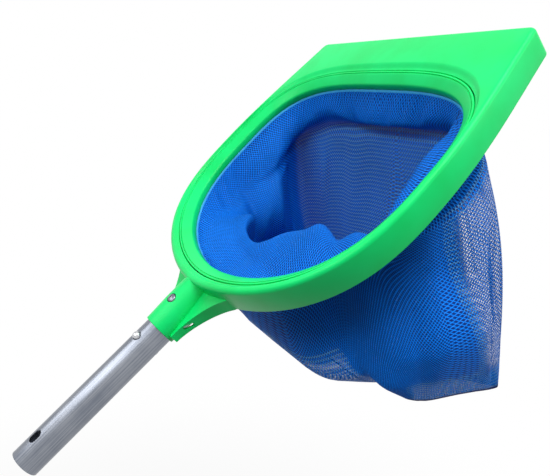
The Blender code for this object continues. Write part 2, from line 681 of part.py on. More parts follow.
def floor_row(share):
    """Row of the bag's floor in the world, from its edge (1) to its middle line (0)."""
    rows = []
    for _, _, angle in HALF[::BAG_STATION_STEPS]:
        reach = math.copysign(abs(math.cos(angle)) ** (2 / BAG_FLOOR_POWER), math.cos(angle))
        across = abs(math.sin(angle)) ** (2 / BAG_FLOOR_POWER)
        x = BAG_FLOOR_HALF_LENGTH * reach * share
        y = BAG_FLOOR_HALF_WIDTH * across * (BAG_FLOOR_SPINE + (1 - BAG_FLOOR_SPINE) * share)
        rows.append(Vector((BAG_BOTTOM_X + x, y, BAG_BOTTOM_Z + BAG_FLOOR_SLOPE * x)))
    return whole(rows)


def make_bag(parent, material):
    """Net bag as an open shell: square under the ring, then hanging to its floor."""
    top = RING_INNER_HEIGHT - RING_WALL_DEPTH - FIT_GAP
    rows = [opening_row(0, top - BAG_NECK * share, BAG_STATION_STEPS) for share in (0, 0.4, 1)]
    neck = rows[-1]
    to_scoop = SCOOP_FRAME.inverted()
    floor = [to_scoop @ point for point in floor_row(1)]
    down = to_scoop.to_3x3() @ Vector((0, 0, -1))
    for step in range(1, BAG_ROWS + 1):
        share = step / BAG_ROWS
        swell = BAG_FULLNESS * math.sin(math.pi * share)
        row = []
        for start, end in zip(neck, floor):
            turn = start + down * (BAG_SAG * (end - start).dot(down))
            out = Vector((start.x - OPENING_CENTRE_U, start.y, 0)).normalized() * swell
            row.append(start.lerp(turn, share).lerp(turn.lerp(end, share), share) + out)
        rows.append(row)
    rows.append([to_scoop @ point for point in floor_row(0.5)])
    bm = bmesh.new()
    loops = [[bm.verts.new(point) for point in row] for row in rows]
    for row, next_row in zip(loops, loops[1:]):
        bridge(bm, row, next_row)
    last = loops[-1]
    middle = bm.verts.new(to_scoop @ Vector((BAG_BOTTOM_X, 0, BAG_BOTTOM_Z)))
    for i in range(len(last)):
        bm.faces.new((last[i], last[(i + 1) % len(last)], middle))
    bag = new_object('mesh_bag', finish_mesh(bm, 'mesh_bag'), material, parent)
    shell = bag.modifiers.new('mesh_thickness', 'SOLIDIFY')
    shell.thickness = MESH_THICKNESS
    shell.offset = -1
    shell.use_even_offset = False


def empty(name, parent, matrix):
    obj = bpy.data.objects.new(name, None)
    obj.empty_display_size = 0.02
    bpy.context.scene.collection.objects.link(obj)
    obj.parent = parent
    obj.matrix_local = matrix
    return obj


def main():
    for obj in list(bpy.data.objects):
        bpy.data.objects.remove(obj, do_unlink=True)
    green = principled('green_plastic', (0.045, 0.62, 0.20), 0.38)
    aluminium = principled('satin_aluminium', (0.72, 0.74, 0.78), 0.30, 1.0)
    steel = principled('spring_steel', (0.62, 0.63, 0.65), 0.25, 1.0)
    mesh_blue = principled('blue_mesh', (0.010, 0.10, 0.55), 0.70)
    hem_blue = principled('hem_tape', (0.03, 0.22, 0.62), 0.80)

    handle = empty('handle_axis', None, HANDLE_FRAME)
    scoop = empty('scoop_plane', None, SCOOP_FRAME)
    seat = empty('ring_seat', scoop, Matrix.Identity(4))

    make_scoop(scoop, green)
    make_tube(handle, aluminium)
    for name, station, angle in RIVETS:
        make_rivet(name, station, angle, handle, aluminium, steel)
    make_clip(handle, steel)
    make_button('snap_button_top', TOP_LINE, handle, steel)
    make_button('snap_button_bottom', TOP_LINE + math.pi, handle, steel)
    make_net_ring(seat, green)
    make_clamp_ring(seat, green)
    make_hem(seat, hem_blue)
    make_bag(seat, mesh_blue)


main()
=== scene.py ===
# %% [markdown]
# # Leaf skimmer net
# A pool skimmer as it is held: a short aluminium tube climbs to a moulded green scoop, and
# a limp blue mesh bag hangs from a ring that lifts out of the scoop. The hard pieces follow
# the measured model exactly, so they are rebuilt here from the same sizes with finer
# surfaces. The bag is folded cloth, so it gets a way of its own.

import math

import bmesh
import bpy
import numpy as np
from mathutils import Matrix, Vector


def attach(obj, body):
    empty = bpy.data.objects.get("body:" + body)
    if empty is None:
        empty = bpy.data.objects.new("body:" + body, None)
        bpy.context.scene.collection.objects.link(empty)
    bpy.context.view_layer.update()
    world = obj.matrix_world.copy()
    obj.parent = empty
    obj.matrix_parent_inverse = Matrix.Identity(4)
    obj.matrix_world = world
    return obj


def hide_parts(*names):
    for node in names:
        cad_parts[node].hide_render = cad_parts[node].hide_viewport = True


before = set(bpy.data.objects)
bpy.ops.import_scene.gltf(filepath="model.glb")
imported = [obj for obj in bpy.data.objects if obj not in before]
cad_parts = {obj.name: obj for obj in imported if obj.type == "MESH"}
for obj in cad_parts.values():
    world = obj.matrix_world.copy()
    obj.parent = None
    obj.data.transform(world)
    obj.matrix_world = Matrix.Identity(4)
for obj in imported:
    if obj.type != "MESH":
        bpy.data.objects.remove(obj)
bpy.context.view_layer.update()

# %% [markdown]
# ## Two working frames
# The handle's axis and the scoop's flat underside aren't level, so every piece is made in
# the frame where it is simple, and placed by that frame's matrix. The handle frame runs
# along the tube from its open end. The scoop frame has u forward from the socket mouth,
# v to the left and w up from the underside.

# %% Handle frame and scoop frame
TUBE_R = 0.0143
TUBE_WALL = 0.0016
TUBE_REACH = 0.1644
SOCKET_DEPTH = 0.050
AXIS_HEIGHT = 0.0121
HANDLE = Matrix.Rotation(math.radians(-38.4), 4, "Y")
SCOOP = (Matrix.Translation(HANDLE @ Vector((TUBE_REACH, 0, 0)))
         @ Matrix.Rotation(math.radians(-41.8), 4, "Y") @ Matrix.Translation((0, 0, -AXIS_HEIGHT)))
SCOOP_FROM_HANDLE = SCOOP.inverted() @ HANDLE
TOP_LINE = math.pi / 2 + math.radians(13)
SIDE_LINE = TOP_LINE + math.radians(97)
POLE_SLOT_AT, BUTTON_AT = 0.0250, 0.1469
RIVETS = (("top_rivet", 0.0290, TOP_LINE), ("side_rivet", 0.0212, SIDE_LINE))


def radial(station, angle):
    """Frame on the handle's axis whose Z points out through the tube's wall."""
    out = Vector((0, math.cos(angle), math.sin(angle)))
    axes = Matrix((Vector((1, 0, 0)), out.cross(Vector((1, 0, 0))), out)).transposed().to_4x4()
    return Matrix.Translation((station, 0, 0)) @ axes


def along_handle(station):
    """Frame on the handle's axis whose Z runs forward along it."""
    return Matrix.Translation((station, 0, 0)) @ Matrix.Rotation(math.pi / 2, 4, "Y")


print("scoop origin, m:", [round(x, 4) for x in SCOOP.translation])

# %% [markdown]
# ## Camera
# The photograph was taken from the right of the handle and a little above, with a normal
# lens at about half a metre. Its place and lens were solved from the edges of the rigid
# pieces, so it is written here as a position and three axes.

# %% Camera
EYE = (-0.0223, -0.5147, 0.3320)
LOOKS_ALONG = (0.452, 0.854, -0.258)
LENS_MM, SENSOR_MM, SIDE_SHIFT = 39.4, 36, 0.0036


def add_camera():
    camera = bpy.data.cameras.new("camera")
    camera.sensor_width = SENSOR_MM
    camera.lens = LENS_MM
    camera.shift_x = SIDE_SHIFT
    camera.clip_start = 0.01
    holder = bpy.data.objects.new("camera", camera)
    bpy.context.scene.collection.objects.link(holder)
    forward = Vector(LOOKS_ALONG).normalized()
    right = Vector((0.884, -0.468, 0)).normalized()
    up = right.cross(forward).normalized()
    right = forward.cross(up)
    axes = Matrix((right, up, -forward)).transposed().to_4x4()
    holder.matrix_world = Matrix.Translation(EYE) @ axes
    bpy.context.scene.camera = holder
    return holder


camera = add_camera()
bpy.context.scene.view_settings.view_transform = "Standard"
print("camera is", round((camera.location - SCOOP.translation).length, 3), "m from the socket")

# %% [markdown]
# ## Shader maths as Python
# A material is a small program on the surface. It could be wired up node by node, but a
# weave takes dozens of them. Wrapping a socket in a class lets the same program be written
# as ordinary arithmetic, so a weave or a grain reads as a formula.

# %% Socket arithmetic
class Wire:
    """A shader socket that adds its own Math nodes when it is used in an expression."""

    def __init__(self, tree, socket):
        self.tree = tree
        self.socket = socket

    def node(self, kind, settings=None, **inputs):
        """Any node: its settings are set first, then its sockets' values or links by name."""
        made = self.tree.nodes.new(kind)
        for key, value in (settings or {}).items():
            setattr(made, key, value)
        for key, value in inputs.items():
            target = made.inputs[int(key[1:])] if key[0] == "i" and key[1:].isdigit() \
                else made.inputs[key.replace("_", " ")]
            join(self.tree, value, target)
        return made

    def math(self, operation, *values):
        made = self.node("ShaderNodeMath", {"operation": operation},
                         **{"i" + str(k): value for k, value in enumerate(values)})
        return Wire(self.tree, made.outputs[0])

    def __add__(self, other): return self.math("ADD", self, other)
    def __radd__(self, other): return self.math("ADD", other, self)
    def __sub__(self, other): return self.math("SUBTRACT", self, other)
    def __rsub__(self, other): return self.math("SUBTRACT", other, self)
    def __mul__(self, other): return self.math("MULTIPLY", self, other)
    def __rmul__(self, other): return self.math("MULTIPLY", other, self)

    def clamp(self):
        made = self.node("ShaderNodeClamp", {}, Value=self)
        return Wire(self.tree, made.outputs[0])

    def sin(self): return self.math("SINE", self)
    def abs(self): return self.math("ABSOLUTE", self)
    def smooth(self, low, high):
        """0 below low, 1 above high, and a smooth step between them."""
        made = self.node("ShaderNodeMapRange", {"interpolation_type": "SMOOTHSTEP"},
                         Value=self, From_Min=low, From_Max=high)
        return Wire(self.tree, made.outputs[0])


def join(tree, value, target):
    if isinstance(value, Wire):
        tree.links.new(value.socket, target)
    elif isinstance(value, bpy.types.NodeSocket):
        tree.links.new(value, target)
    else:
        target.default_value = value


print("operators: + - *, and node() for the rest")


# %% [markdown]
# Every finish starts the same way: a Principled shader with its constant values set on its
# own sockets, and a pen to write expressions with. Only what really changes over a surface
# is wired, because such a finish can be baked and used again elsewhere.

# %% Starting a finish
class Finish:
    """A material with its Principled shader and a source of wires."""

    def __init__(self, name, **constants):
        self.material = bpy.data.materials.new(name)
        self.material.use_nodes = True
        self.tree = self.material.node_tree
        self.shader = self.tree.nodes["Principled BSDF"]
        for key, value in constants.items():
            self.shader.inputs[key.replace("_", " ")].default_value = value
        self.pen = Wire(self.tree, None)

    def place(self, kind="Object"):
        return self.pen.node("ShaderNodeTexCoord").outputs[kind]

    def scaled(self, vector, scale):
        return self.pen.node("ShaderNodeMapping", {}, Vector=vector, Scale=scale).outputs[0]

    def noise(self, vector, scale, detail=3.0, roughness=0.5):
        made = self.pen.node("ShaderNodeTexNoise", {}, Vector=vector, Scale=scale, Detail=detail,
                             Roughness=roughness)
        return Wire(self.tree, made.outputs["Fac"])

    def mix(self, factor, a, b):
        made = self.pen.node("ShaderNodeMix", {"data_type": "RGBA"}, i0=factor, i6=a, i7=b)
        return made.outputs[2]

    def bump(self, height, strength, distance):
        made = self.pen.node("ShaderNodeBump", {}, Height=height, Strength=strength, Distance=distance)
        self.tree.links.new(made.outputs[0], self.shader.inputs["Normal"])

    def feed(self, name, value):
        join(self.tree, value, self.shader.inputs[name])
        return self


def rgb(r, g, b):
    """A colour from 0-255 screen values, as the linear light that a shader works in."""
    channel = [c / 255 for c in (r, g, b)]
    linear = [c / 12.92 if c <= 0.04045 else ((c + 0.055) / 1.055) ** 2.4 for c in channel]
    return (*linear, 1)


print("spring green in linear light:", [round(c, 3) for c in rgb(45, 220, 110)[:3]])

# %% [markdown]
# ## Stage
# The skimmer is held in the air, so the floor lies well below it and only catches a soft
# shadow. The background is white because the world and the floor answer camera and mirror
# rays with white, and near the object a little of the floor's own shade stays in. The light
# that falls on the object doesn't grow with it: it comes from above and fades to the
# horizon, so the underside of the rim and the depth of the bag stay dark.

# %% World, floor and lamps
def ray_choice(tree, *kinds):
    """1 where the ray is one of the kinds, as one wire."""
    path = Wire(tree, None).node("ShaderNodeLightPath")
    total = Wire(tree, path.outputs[kinds[0]])
    for kind in kinds[1:]:
        total = total + Wire(tree, path.outputs[kind])
    return total.clamp()


def make_world(low, high):
    """Soft light that grows from the horizon to the zenith, behind a plain white background."""
    world = bpy.data.worlds.new("studio")
    bpy.context.scene.world = world
    world.use_nodes = True
    tree = world.node_tree
    tree.nodes.clear()
    pen = Wire(tree, None)
    place = pen.node("ShaderNodeTexCoord").outputs["Generated"]
    upward = Wire(tree, pen.node("ShaderNodeSeparateXYZ", {}, Vector=place).outputs["Z"]).smooth(-0.2, 1.0)
    soft = pen.node("ShaderNodeBackground", {}, Color=(0.96, 0.98, 1.0, 1),
                    Strength=upward * (high - low) + low)
    white = pen.node("ShaderNodeBackground", {}, Color=(1, 1, 1, 1), Strength=1.0)
    seen = ray_choice(tree, "Is Camera Ray", "Is Glossy Ray", "Is Transmission Ray")
    choice = pen.node("ShaderNodeMixShader", {}, i0=seen, i1=soft.outputs[0], i2=white.outputs[0])
    out = pen.node("ShaderNodeOutputWorld")
    tree.links.new(choice.outputs[0], out.inputs[0])


def make_floor(height, size):
    mesh = bpy.data.meshes.new("floor")
    corners = [(-size, -size, height), (size, -size, height), (size, size, height), (-size, size, height)]
    mesh.from_pydata(corners, [], [(0, 1, 2, 3)])
    floor = bpy.data.objects.new("floor", mesh)
    bpy.context.scene.collection.objects.link(floor)
    paint = bpy.data.materials.new("pale floor")
    paint.use_nodes = True
    tree = paint.node_tree
    tree.nodes.clear()
    pen = Wire(tree, None)
    matt = pen.node("ShaderNodeBsdfDiffuse", {}, Color=(0.20, 0.20, 0.21, 1))
    glow = pen.node("ShaderNodeEmission", {}, Color=(1, 1, 1, 1), Strength=1.0)
    place = pen.node("ShaderNodeTexCoord").outputs["Object"]
    away = Wire(tree, pen.node("ShaderNodeVectorMath", {"operation": "LENGTH"}, i0=place).outputs["Value"])
    share = ray_choice(tree, "Is Camera Ray", "Is Glossy Ray", "Is Transmission Ray") \
        * (away.smooth(0.35, 1.1) * 0.12 + 0.88)
    choice = pen.node("ShaderNodeMixShader", {}, i0=share, i1=matt.outputs[0], i2=glow.outputs[0])
    out = pen.node("ShaderNodeOutputMaterial")
    tree.links.new(choice.outputs[0], out.inputs[0])
    mesh.materials.append(paint)
    return floor


def softbox(name, place, target, size, watts):
    lamp = bpy.data.lights.new(name, "AREA")
    lamp.shape = "RECTANGLE"
    lamp.size, lamp.size_y = size
    lamp.energy = watts
    holder = bpy.data.objects.new(name, lamp)
    bpy.context.scene.collection.objects.link(holder)
    aim = (Vector(target) - Vector(place)).to_track_quat("-Z", "Y")
    holder.matrix_world = Matrix.Translation(place) @ aim.to_matrix().to_4x4()
    return holder


make_world(0.05, 0.78)
floor = make_floor(-0.45, 6.0)
softbox("key softbox", (0.28, -0.68, 1.50), (0.25, 0, 0.2), (0.9, 0.9), 17)
softbox("left softbox", (-0.92, 0.02, 1.02), (0.10, 0, 0.1), (1.5, 0.40), 9)
softbox("front softbox", (1.15, -1.05, 0.75), (0.25, 0, 0.2), (0.8, 0.8), 6)

# %% [markdown]
# ## Finishes of the hard pieces
# The moulding is glossy polypropylene: nearly even in colour, with a very fine orange-peel
# skin, a few cloudy roughness patches from the mould and hairline scratches. The tube is
# drawn aluminium, so its grain runs along the axis. Steel parts are small and bright.
# One flat colour would look like paper, so noise drives colour and gloss by a few per cent.

# %% Moulded green plastic
def green_plastic(name, deep, lit, gloss):
    finish = Finish(name, Metallic=0.0, Specular_IOR_Level=0.18)
    place = finish.place()
    cloud = finish.noise(place, 16.0, 3.0, 0.55)
    skin = finish.noise(place, 900.0, 2.0, 0.5)
    scratch = finish.noise(finish.scaled(place, (60.0, 900.0, 60.0)), 4.0, 2.0, 0.6).smooth(0.66, 0.74)
    finish.feed("Base Color", finish.mix(cloud.smooth(0.30, 0.70), deep, lit))
    finish.feed("Roughness", cloud * 0.10 + scratch * 0.08 + gloss)
    finish.bump(skin * 0.6 - scratch * 0.4, 0.10, 0.00025)
    return finish.material


GREEN = green_plastic("green moulding", rgb(6, 212, 102), rgb(12, 226, 118), 0.30)
GREEN_HIDDEN = green_plastic("green clamp", rgb(8, 200, 88), rgb(14, 216, 100), 0.36)
print("greens:", GREEN.name, "and", GREEN_HIDDEN.name)

# %% [markdown]
# The tube was pulled through a die, which leaves fine lines along it. A picture of brushed
# metal would need unwrapping and would stretch, so the lines are noise that is squeezed
# across the axis. The place is first turned by the handle's slope, to lie along the tube.

# %% Drawn aluminium and steel
def drawn_metal(name, dark, light, gloss, grain_scale, turn=None):
    finish = Finish(name, Metallic=1.0)
    place = finish.place()
    if turn is not None:
        turned_place = finish.pen.node("ShaderNodeVectorRotate", {"rotation_type": "Y_AXIS"}, Vector=place,
                                       Angle=turn)
        place = turned_place.outputs[0]
    grain = finish.noise(finish.scaled(place, grain_scale), 1.0, 4.0, 0.65)
    haze = finish.noise(place, 28.0, 3.0, 0.6)
    tone = grain * 0.7 + haze * 0.3
    finish.feed("Base Color", finish.mix(tone.smooth(0.35, 0.65), dark, light))
    finish.feed("Roughness", haze * 0.10 + grain * 0.06 + gloss)
    finish.bump(grain, 0.12, 0.0002)
    return finish.material


PITCH = math.radians(38.4)
# The aluminium's colour is darker than bare metal: a painted shade that stands in for the darker room the
# tube would mirror, since the world shows mirror rays only white.
ALUMINIUM = drawn_metal("drawn aluminium", rgb(112, 118, 130), rgb(146, 150, 158), 0.26,
                        (14.0, 1100.0, 1100.0), PITCH)
STEEL = drawn_metal("bright steel", rgb(168, 170, 174), rgb(214, 215, 218), 0.16, (700.0, 700.0, 700.0))
ZINC = drawn_metal("plated clip", rgb(120, 122, 126), rgb(168, 170, 172), 0.24, (300.0, 900.0, 300.0))
print("metals:", ALUMINIUM.name, STEEL.name, ZINC.name)


# %% [markdown]
# ## Mesh helpers
# Rings and turned pieces are both rows of points joined by faces. They could be modelled
# by hand from cylinders, but rows follow the measured sizes exactly. Two helpers make them,
# one Boolean helper cuts the real holes, and every smooth surface keeps its true edges by
# an angle limit.

# %% Rows into surfaces
def new_piece(name, mesh, finish, matrix=Matrix.Identity(4)):
    piece = bpy.data.objects.new(name, mesh)
    bpy.context.scene.collection.objects.link(piece)
    mesh.transform(matrix)
    if finish is not None:
        mesh.materials.append(finish)
    return piece


def settle(bm, name, crease=35):
    bmesh.ops.recalc_face_normals(bm, faces=bm.faces[:])
    mesh = bpy.data.meshes.new(name)
    bm.to_mesh(mesh)
    bm.free()
    mesh.shade_smooth()
    mesh.set_sharp_from_angle(angle=math.radians(crease))
    return mesh


def join_rows(bm, row, next_row):
    count = len(row)
    for i in range(count):
        bm.faces.new((row[i], row[(i + 1) % count], next_row[(i + 1) % count], next_row[i]))


def skin_of(name, rows, wrap, crease=35):
    """Surface over closed rows: wrapped into a ring, or capped at both ends."""
    bm = bmesh.new()
    loops = [[bm.verts.new(point) for point in row] for row in rows]
    for row, next_row in zip(loops, loops[1:]):
        join_rows(bm, row, next_row)
    if wrap:
        join_rows(bm, loops[-1], loops[0])
    else:
        bm.faces.new(loops[0])
        bm.faces.new(loops[-1])
    return settle(bm, name, crease)


def turned(name, profile, sides, hollow=False, crease=35):
    """Body turned about Z from (radius, height) points; radius 0 closes it on the axis."""
    bm = bmesh.new()
    loops = []
    for radius, height in profile:
        if radius == 0:
            loops.append([bm.verts.new((0, 0, height))])
            continue
        angles = [2 * math.pi * k / sides for k in range(sides)]
        loops.append([bm.verts.new((radius * math.cos(a), radius * math.sin(a), height)) for a in angles])
    pairs = list(zip(loops, loops[1:])) + ([(loops[-1], loops[0])] if hollow else [])
    for row, next_row in pairs:
        if len(row) > 1 and len(next_row) > 1:
            join_rows(bm, row, next_row)
            continue
        tip, ring = (row[0], next_row) if len(row) == 1 else (next_row[0], row)
        for k in range(sides):
            bm.faces.new((tip, ring[k], ring[(k + 1) % sides]))
    return settle(bm, name, crease)


def slot_rows(length, width, low, high, steps=12):
    """Two closed rows of a slot with round ends, long in X."""
    outline = []
    for end in (1, -1):
        for step in range(steps + 1):
            a = math.pi * step / steps - math.pi / 2
            outline.append((end * ((length - width) / 2 + width / 2 * math.cos(a)),
                            end * width / 2 * math.sin(a)))
    return [[Vector((x, y, height)) for x, y in outline] for height in (low, high)]


def round_edge(near, corner, far, radius, steps=3):
    """Points of an arc that softens a corner of a profile."""
    corner = Vector(corner)
    start = corner + (Vector(near) - corner).normalized() * radius
    end = corner + (Vector(far) - corner).normalized() * radius
    points = []
    for step in range(steps + 1):
        s = step / steps
        points.append(tuple(start * (1 - s) ** 2 + corner * (2 * s * (1 - s)) + end * s * s))
    return points


def cut_or_join(target, meshes, operation):
    """Boolean the target with closed meshes, one after another, and keep the result."""
    for mesh in meshes:
        other = bpy.data.objects.new("tool", mesh)
        bpy.context.scene.collection.objects.link(other)
        modifier = target.modifiers.new("step", "BOOLEAN")
        modifier.operation = operation
        modifier.solver = "EXACT"
        modifier.object = other
        bpy.context.view_layer.update()
        result = bpy.data.meshes.new_from_object(target.evaluated_get(bpy.context.evaluated_depsgraph_get()))
        target.modifiers.clear()
        target.data = result
        bpy.data.objects.remove(other)


def finish_edges(target, crease=35):
    target.data.shade_smooth()
    target.data.set_sharp_from_angle(angle=math.radians(crease))


print("helpers: skin_of, turned, slot_rows, round_edge, cut_or_join")

# %% [markdown]
# ## The outlines everything shares
# The net opening is two superellipse halves: a flat front edge with tight corners and a
# full round rear. The outside of the rim has four zones, from the straight lip through its
# corner and a tapering side to the rear. Both are walked together, station by station, so
# that the rows of the skin never twist.

# %% Opening and rim outlines
CENTRE_U = 0.2220
HALF_WIDTH = 0.1634
FRONT, REAR = 0.1067, 0.1448
FRONT_POWER, REAR_POWER = (3.33, 3.33), (2.63, 1.90)
RIM_REAR_POWER = (2.80, 1.78)
RIM_HALF_WIDTH = HALF_WIDTH + 0.0200
RIM_REAR = REAR + 0.0250
LIP_REACH = CENTRE_U + FRONT + 0.0615
LIP_TAPER = 0.0254
LIP_HALF_WIDTH = RIM_HALF_WIDTH - LIP_TAPER
LIP_CORNER = 0.0085
CORNER_FROM, CORNER_TO = math.radians(42), math.radians(50)


def superellipse(angle, reach, half_width, powers):
    along = abs(math.cos(angle)) ** (2 / powers[0])
    across = abs(math.sin(angle)) ** (2 / powers[1])
    normal = Vector((powers[0] * along ** (powers[0] - 1) / reach,
                     powers[1] * across ** (powers[1] - 1) / half_width))
    return Vector((CENTRE_U + reach * along, half_width * across)), normal.normalized()


def opening(angle, offset):
    """Point of the opening's outline moved outward; angle 0 is the middle of the front."""
    ahead = math.cos(angle) >= 0
    point, normal = superellipse(angle, FRONT if ahead else -REAR, HALF_WIDTH,
                                 FRONT_POWER if ahead else REAR_POWER)
    return point + normal * offset


def rim(zone, share, angle):
    """Point on the outside of the rim with its outward normal."""
    taper = 1.25 * math.atan2(LIP_TAPER, LIP_REACH - CENTRE_U)
    run = LIP_CORNER * (1 - math.sin(taper)) / math.cos(taper)
    start_v = LIP_HALF_WIDTH + run * math.sin(taper)
    centre = Vector((LIP_REACH - LIP_CORNER, start_v - LIP_CORNER * math.cos(taper)))
    if zone == "lip":
        return Vector((LIP_REACH, centre.y * share)), Vector((1, 0))
    if zone == "corner":
        turn = share * (math.pi / 2 - taper)
        normal = Vector((math.cos(turn), math.sin(turn)))
        return centre + normal * LIP_CORNER, normal
    if zone == "rear":
        return superellipse(angle, -RIM_REAR, RIM_HALF_WIDTH, RIM_REAR_POWER)
    start = Vector((CENTRE_U, RIM_HALF_WIDTH))
    end = centre + Vector((math.sin(taper), math.cos(taper))) * LIP_CORNER
    out_way, in_way = Vector((1, 0)), Vector((math.cos(taper), -math.sin(taper)))
    length = (end - start).length
    s, r = share, 1 - share
    point = (start * (r * r * (1 + 2 * s)) + out_way * (length * r * r * s)
             + end * (s * s * (1 + 2 * r)) - in_way * (length * s * s * r))
    way = ((end - start) * (6 * s * r) + out_way * (length * r * (1 - 3 * s))
           + in_way * (length * s * (3 * s - 2))).normalized()
    return point, Vector((-way.y, way.x))


def walk(lip, corner, side, rear):
    """Stations of the left half, front to rear: (zone, share of the zone, opening angle)."""
    width = opening(CORNER_FROM, 0).y
    stations = []
    for step in range(lip):
        angle = CORNER_FROM * step / lip
        stations.append(("lip", opening(angle, 0).y / width, angle))
    for step in range(corner + 1):
        share = step / corner
        stations.append(("corner", share, CORNER_FROM + (CORNER_TO - CORNER_FROM) * share))
    for step in range(1, side):
        share = step / side
        stations.append(("side", 1 - share, CORNER_TO + (math.pi / 2 - CORNER_TO) * share))
    for step in range(rear + 1):
        stations.append(("rear", 0, math.pi / 2 * (1 + step / rear)))
    return stations


STATIONS = walk(24, 12, 24, 56)
print("stations round the moulding:", 2 * len(STATIONS) - 2)

# %% [markdown]
# The outlines give half a plan. A row is that half, mirrored and lifted to a height, so
# the two sides match exactly and every row has the same number of points to join.

# %% Rows of points from the outlines
def both_sides(half):
    return half + [Vector((p.x, -p.y, p.z)) for p in half[-2:0:-1]]


def opening_row(offset, height):
    return both_sides([opening(angle, offset).to_3d() + Vector((0, 0, height)) for _, _, angle in STATIONS])


def rim_row(inset, height):
    half = []
    for station in STATIONS:
        point, normal = rim(*station)
        half.append((point - normal * inset).to_3d() + Vector((0, 0, height)))
    return both_sides(half)


print("rim is", round(2 * RIM_HALF_WIDTH, 4), "m wide")

# %% [markdown]
# ## The scoop
# One moulding: a flat-topped rim with a rounded outer edge, a soft trough that falls to the
# seam of the net ring, a long lip with ribs under it, and the round socket on a fan-shaped
# web. Bevels on a cut block would give the same edge width everywhere, while the real rim
# widens into the lip, so its skin is drawn from the cross section instead.

# %% Cross section of the rim
SEAM = 0.0135
SEAM_HEIGHT, RIM_HEIGHT = 0.0239, 0.0272
EDGE = 0.0042
SKIRT = 0.0026
PLATE = 0.0028
LEDGE_TOP, LEDGE_BOTTOM, LEDGE_REACH = 0.0095, 0.0069, 0.0055


def trough(share):
    """Row of the trough between the seam and the rim's flat top."""
    low, high = opening_row(SEAM + 0.0005, SEAM_HEIGHT), rim_row(EDGE, RIM_HEIGHT)
    row = []
    for seam, shoulder in zip(low, high):
        span = (Vector(shoulder.xy) - Vector(seam.xy)).length
        reach = min(0.0080, 0.70 * span) / span
        point = seam.lerp(shoulder, reach * share)
        rise = share * share * (3 - 2 * share)
        point.z = SEAM_HEIGHT + (RIM_HEIGHT - SEAM_HEIGHT) * rise
        row.append(point)
    return row


def rim_section():
    rows = [opening_row(SEAM, LEDGE_TOP), opening_row(SEAM, SEAM_HEIGHT - 0.0006),
            opening_row(SEAM + 0.0001, SEAM_HEIGHT - 0.0002)]
    rows += [trough(share) for share in (0, 0.15, 0.3, 0.45, 0.6, 0.75, 0.9, 1.0)]
    for step in range(9):
        a = math.pi / 2 * step / 8
        rows.append(rim_row(EDGE * (1 - math.sin(a)), RIM_HEIGHT - EDGE * (1 - math.cos(a))))
    rows += [rim_row(0, 0.0009), rim_row(0.0003, 0.0002), rim_row(0.0008, 0)]
    rows += [rim_row(SKIRT - 0.0004, 0), rim_row(SKIRT, 0.0004), rim_row(SKIRT, RIM_HEIGHT - EDGE),
             rim_row(SKIRT + 0.0012, RIM_HEIGHT - PLATE)]
    rows += [opening_row(SEAM + SKIRT, SEAM_HEIGHT - PLATE), opening_row(SEAM + SKIRT, LEDGE_BOTTOM),
             opening_row(LEDGE_REACH, LEDGE_BOTTOM), opening_row(LEDGE_REACH, LEDGE_TOP)]
    return rows


scoop = new_piece("scoop_moulding", skin_of("scoop_moulding", rim_section(), wrap=True), GREEN)
print("rim skin faces:", len(scoop.data.polygons))

# %% [markdown]
# The lip is hollow below and stiffened by ribs, and the handle's pull reaches the rim
# through the web, which thins towards the socket. Each is a closed solid of its own that
# reaches a little into its neighbour, so that one union can join them cleanly.

# %% Ribs, web and socket
BORE = TUBE_R + 0.0003
BARREL = BORE + 0.0032
SOCKET_LENGTH = CENTRE_U - REAR - 0.0250 + EDGE * 1.2


def rib_meshes():
    width = opening(CORNER_FROM, 0).y
    meshes = []
    for rib in range(-3, 4):
        angle = CORNER_FROM * abs(rib) / 4
        side = -1 if rib < 0 else 1
        start = opening(angle, SEAM + SKIRT / 2)
        end = rim("lip", opening(angle, 0).y / width, angle)[0] - Vector((SKIRT / 2, 0))
        start.y *= side
        end.y *= side
        across = Vector((start.y - end.y, end.x - start.x)).normalized() * 0.0009
        rows = []
        for point, top in ((start, SEAM_HEIGHT - PLATE / 2), (end, RIM_HEIGHT - PLATE / 2)):
            rows.append([Vector((*(point + across * s), height))
                         for s, height in ((-1, 0.004), (1, 0.004), (1, top), (-1, top))])
        meshes.append(skin_of("rib", rows, wrap=False))
    return meshes


def web_outline(wall):
    """Plan of the fan between socket and rim, drawn in by wall on its open sides."""
    toe_angle = math.radians(158) + 2 * wall / HALF_WIDTH
    toe = rim("rear", 0, toe_angle)[0]
    root = Vector((0.0030 + wall, 0.0195 - wall))
    span = toe - root
    bow = (root, root + Vector((0.30 * span.x, 0.05 * span.y)),
           root + Vector((0.80 * span.x, 0.50 * span.y)), toe)
    half = []
    for step in range(20):
        s = step / 20
        r = 1 - s
        half.append(bow[0] * r ** 3 + bow[1] * (3 * r * r * s) + bow[2] * (3 * r * s * s) + bow[3] * s ** 3)
    for step in range(21):
        point, normal = rim("rear", 0, toe_angle + (math.pi - toe_angle) * step / 20)
        half.append(point + normal * (wall - SKIRT) / 2)
    return half + [Vector((p.x, -p.y)) for p in reversed(half[:-1])]


def web_top(u):
    toe = rim("rear", 0, math.radians(158))[0]
    return 0.0078 + (0.0138 - 0.0078) * u / toe.x


def web_solid(wall, low, drop):
    outline = web_outline(wall)
    return [[Vector((p.x, p.y, low)) for p in outline],
            [Vector((p.x, p.y, web_top(p.x) - drop)) for p in outline]]


def barrel_profile():
    mouth = BORE + 0.0018
    points = [(0, 0.0)] + [(r, h) for r, h in round_edge((0, 0), (mouth, 0), (BARREL, 0.030), 0.0007)]
    points += [(BARREL - 0.0001, 0.0270), (BARREL, 0.0315), (BARREL, SOCKET_LENGTH), (0, SOCKET_LENGTH)]
    return points


print("socket length, m:", round(SOCKET_LENGTH, 4))

# %% [markdown]
# The bore, the rivet seats and the side slot come last, as a drill would come to the
# finished moulding. They could be painted on as dark spots, but a real cut catches real
# shadow and shows the metal behind it.

